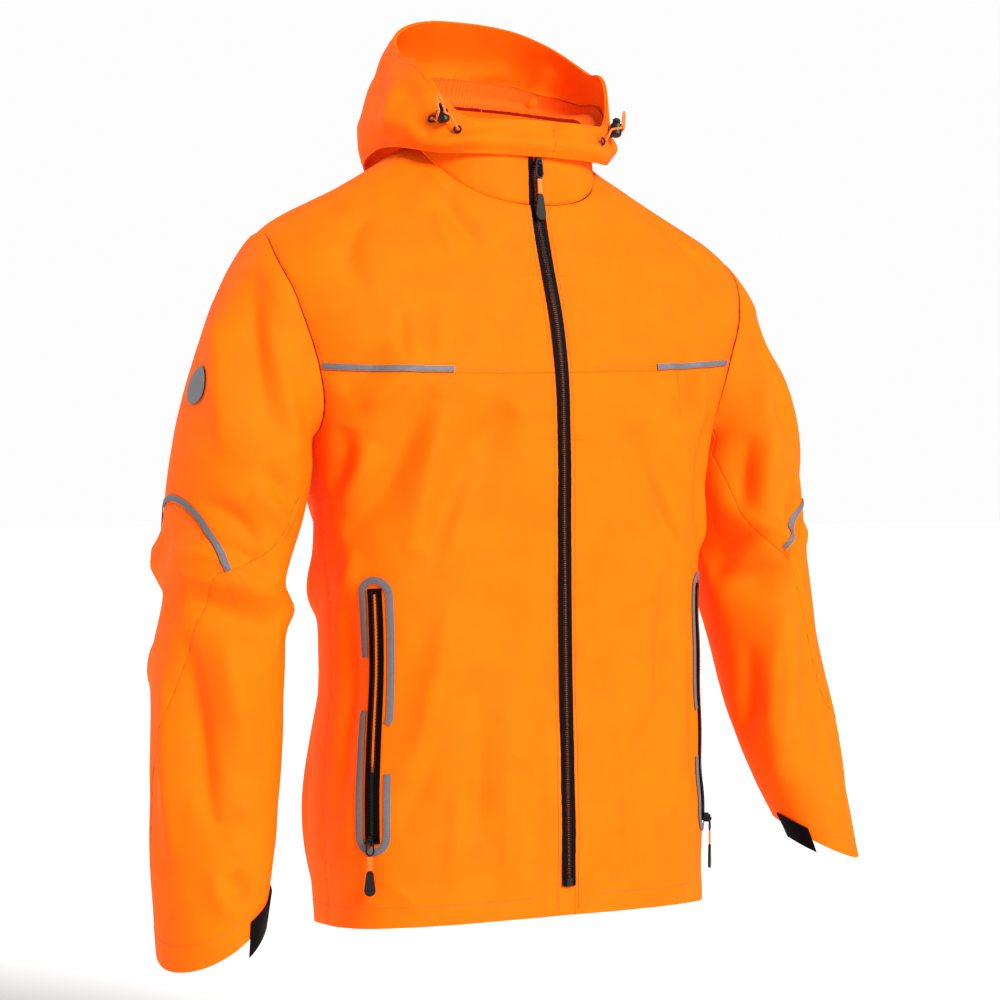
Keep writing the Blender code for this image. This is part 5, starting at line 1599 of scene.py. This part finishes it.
@dataclass
class Drawcord:
    """One side's drawcord: from the rear eyelet past its stopper, round the loop, to the front eyelet."""

    side: Side
    wardrobe: Wardrobe
    radius: float = 0.00125
    eyelets: tuple[tuple[float, float], ...] = ((54.0, 2.3), (37.0, 2.0))
    stand: float = 0.0008 + 0.0018 + 0.00125 + CLOTH / 2
    stopper_radius: float = 0.0062
    stopper_length: float = 0.0140
    loop_half: float = 0.0030
    loop_height: float = 0.016

    def path(self) -> list[Vector]:
        """Points along the cord, from one eyelet to the other."""
        bases = []
        for turn, level in self.eyelets:
            spot = HOOD.point(np.array([self.side.value * turn]), np.array([level]))[0]
            out = normals(HOOD, np.array([self.side.value * turn]), np.array([level]))[0]
            bases.append(Vector(spot + out * self.stand))
        low_corner, high_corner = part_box("stopper_" + self.side.word)
        middle = (low_corner + high_corner) / 2
        out = normals(HOOD, np.array([self.side.value * 50.0]), np.array([2.9]))[0]
        flat = Vector((out[0], out[1], 0)).normalized()
        along = Vector((0, 0, 1)).cross(flat).normalized()
        if (bases[1] - bases[0]).dot(along) < 0:
            along = -along
        lean = (Vector((0, 0, 1)) - along * 0.25).normalized()
        foot = middle - lean * (self.stopper_length / 2)
        reach = self.stopper_radius + SEAM_GAP + self.radius
        low, high = foot + lean * 0.0045, foot + lean * 0.0105 + flat * reach
        sides = []
        for base in bases:
            away = base - low
            away = (away - lean * away.dot(lean)).normalized()
            sides.append(low + away * reach)
        rise = [sides[0].lerp(high - along * self.loop_half, s) + flat * (0.0030 * sin(pi * s))
                for s in (0.35, 0.7)]
        fall = [high.lerp(sides[1], s) + flat * (0.0030 * sin(pi * s)) for s in (0.3, 0.65)]
        loop = [high - along * (self.loop_half * cos(t)) + lean * (self.loop_height * sin(t))
                for t in np.linspace(0, pi, 13)]
        return [bases[0], (bases[0] + sides[0]) / 2, sides[0], *rise, *loop, *fall, sides[1],
                (bases[1] + sides[1]) / 2, bases[1]]

    def build(self) -> None:
        """Lay the cord as one tube in place of its CAD pieces."""
        word = self.side.word
        curve = bpy.data.curves.new("drawcord_" + word, "CURVE")
        curve.dimensions = "3D"
        curve.bevel_depth = self.radius
        curve.bevel_resolution = 4
        curve.use_fill_caps = True
        points = self.path()
        line = curve.splines.new("POLY")
        fine = Table(tuple(tuple(p) for p in points)).read(np.linspace(0, len(points) - 1, 140))
        fine = np.stack(fine, axis=-1)
        line.points.add(len(fine) - 1)
        for place, spot in zip(line.points, fine):
            place.co = (*spot, 1.0)
        line.use_smooth = True
        curve.materials.append(self.wardrobe.cord)
        obj = bpy.data.objects.new("drawcord_" + word + "_braid", curve)
        bpy.context.scene.collection.objects.link(obj)
        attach(obj, "root")
        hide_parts(*(f"drawcord_{word}_{end}" for end in ("1", "2", "loop")))


@dataclass
class Hardware:
    """Hard pieces that keep their solids' shape and get finer finishes."""

    wardrobe: Wardrobe

    def build(self) -> None:
        """Give the carried-over straps, cords and plastic parts their finishes."""
        for name, node in frame["nodes"].items():
            if "_strap" in name or name.startswith("drawcord"):
                finish = self.wardrobe.cord
            elif name.startswith(("stopper", "eyelet", "zip_slider", "pocket")) or "pull" in name:
                finish = self.wardrobe.plastic
            else:
                continue
            node.data.materials.clear()
            node.data.materials.append(finish)
            log.info("%s: finish %s", name, finish.name)


# ---- studio -------------------------------------------------------------------------
@dataclass(frozen=True)
class Studio:
    """Plain pale floor and backdrop, soft lights and the camera."""

    floor_height: float = -1.05
    camera_place: tuple[float, float, float] = (-1.35, -2.338, -0.33)
    lens: float = 94.28
    shift: float = -0.010

    def build(self) -> None:
        """Set up floor, world, lights and camera."""
        self.build_floor()
        self.build_world()
        self.add_light("key", (0.45, -2.6, 1.55), 22.0, 5.2)
        self.add_light("rim", (-1.6, 2.4, 1.3), 40.0, 1.6)
        self.build_camera()

    def build_floor(self) -> None:
        """Lay the pale floor."""
        bm = bmesh.new()
        bmesh.ops.create_grid(bm, x_segments=1, y_segments=1, size=60.0)
        material, _, shader = new_material("matt_white_backdrop")
        shader.inputs["Base Color"].default_value = linear("#F4F4F4")
        shader.inputs["Roughness"].default_value = 0.9
        floor = new_object("studio_floor", bm, material)
        floor.location.z = self.floor_height

    def build_world(self) -> None:
        """Make an even white surround that lights gently and looks white itself."""
        world = bpy.data.worlds.new("white_surround")
        world.use_nodes = True
        tree = world.node_tree
        surround = tree.nodes["Background"]
        surround.inputs["Color"].default_value = linear("#FFFFFF")
        seen = add_node(tree, "LightPath").outputs["Is Camera Ray"]
        strength = add_node(tree, "MapRange", {"To Min": 0.42, "To Max": 0.98}, links={"Value": seen})
        tree.links.new(strength.outputs["Result"], surround.inputs["Strength"])
        bpy.context.scene.world = world

    def add_light(self, name: str, place: tuple[float, float, float], spread: float, power: float) -> None:
        """Add a far, soft light that faces the jacket.

        Args:
            name: Object name.
            place: Where its light comes from.
            spread: Angle across it, degrees.
            power: Watts on each square metre.
        """
        data = bpy.data.lights.new(name + "_softbox", "SUN")
        data.angle, data.energy = radians(spread), power
        light = bpy.data.objects.new(name + "_softbox", data)
        light.location = place
        light.rotation_euler = (-Vector(place)).to_track_quat("-Z", "Y").to_euler()
        bpy.context.scene.collection.objects.link(light)

    def build_camera(self) -> None:
        """Stand the camera at the right front, level with the jacket's middle."""
        data = bpy.data.cameras.new("camera")
        data.lens, data.sensor_width, data.shift_x = self.lens, 36.0, self.shift
        camera = bpy.data.objects.new("camera", data)
        camera.location = self.camera_place
        target = Vector((0, 0, self.camera_place[2])) - Vector(self.camera_place)
        camera.rotation_euler = target.to_track_quat("-Z", "Y").to_euler()
        bpy.context.scene.collection.objects.link(camera)
        bpy.context.scene.camera = camera
        bpy.context.scene.view_settings.view_transform = "Standard"
        bpy.context.scene.view_settings.look = "None"


def main() -> None:
    """Build the jacket and its studio."""
    logging.basicConfig(level=logging.INFO, format="%(message)s")
    wardrobe = Wardrobe()
    jacket = Jacket()
    ClothPanels(jacket, wardrobe).build()
    FrontZip(jacket, wardrobe).build()
    Trims(jacket, wardrobe).build()
    for side in Side:
        Pocket(side, jacket, wardrobe).build()
        Drawcord(side, wardrobe).build()
    Stitching(jacket, wardrobe).build()
    Hardware(wardrobe).build()
    Studio().build()


if __name__ == "__main__":
    main()
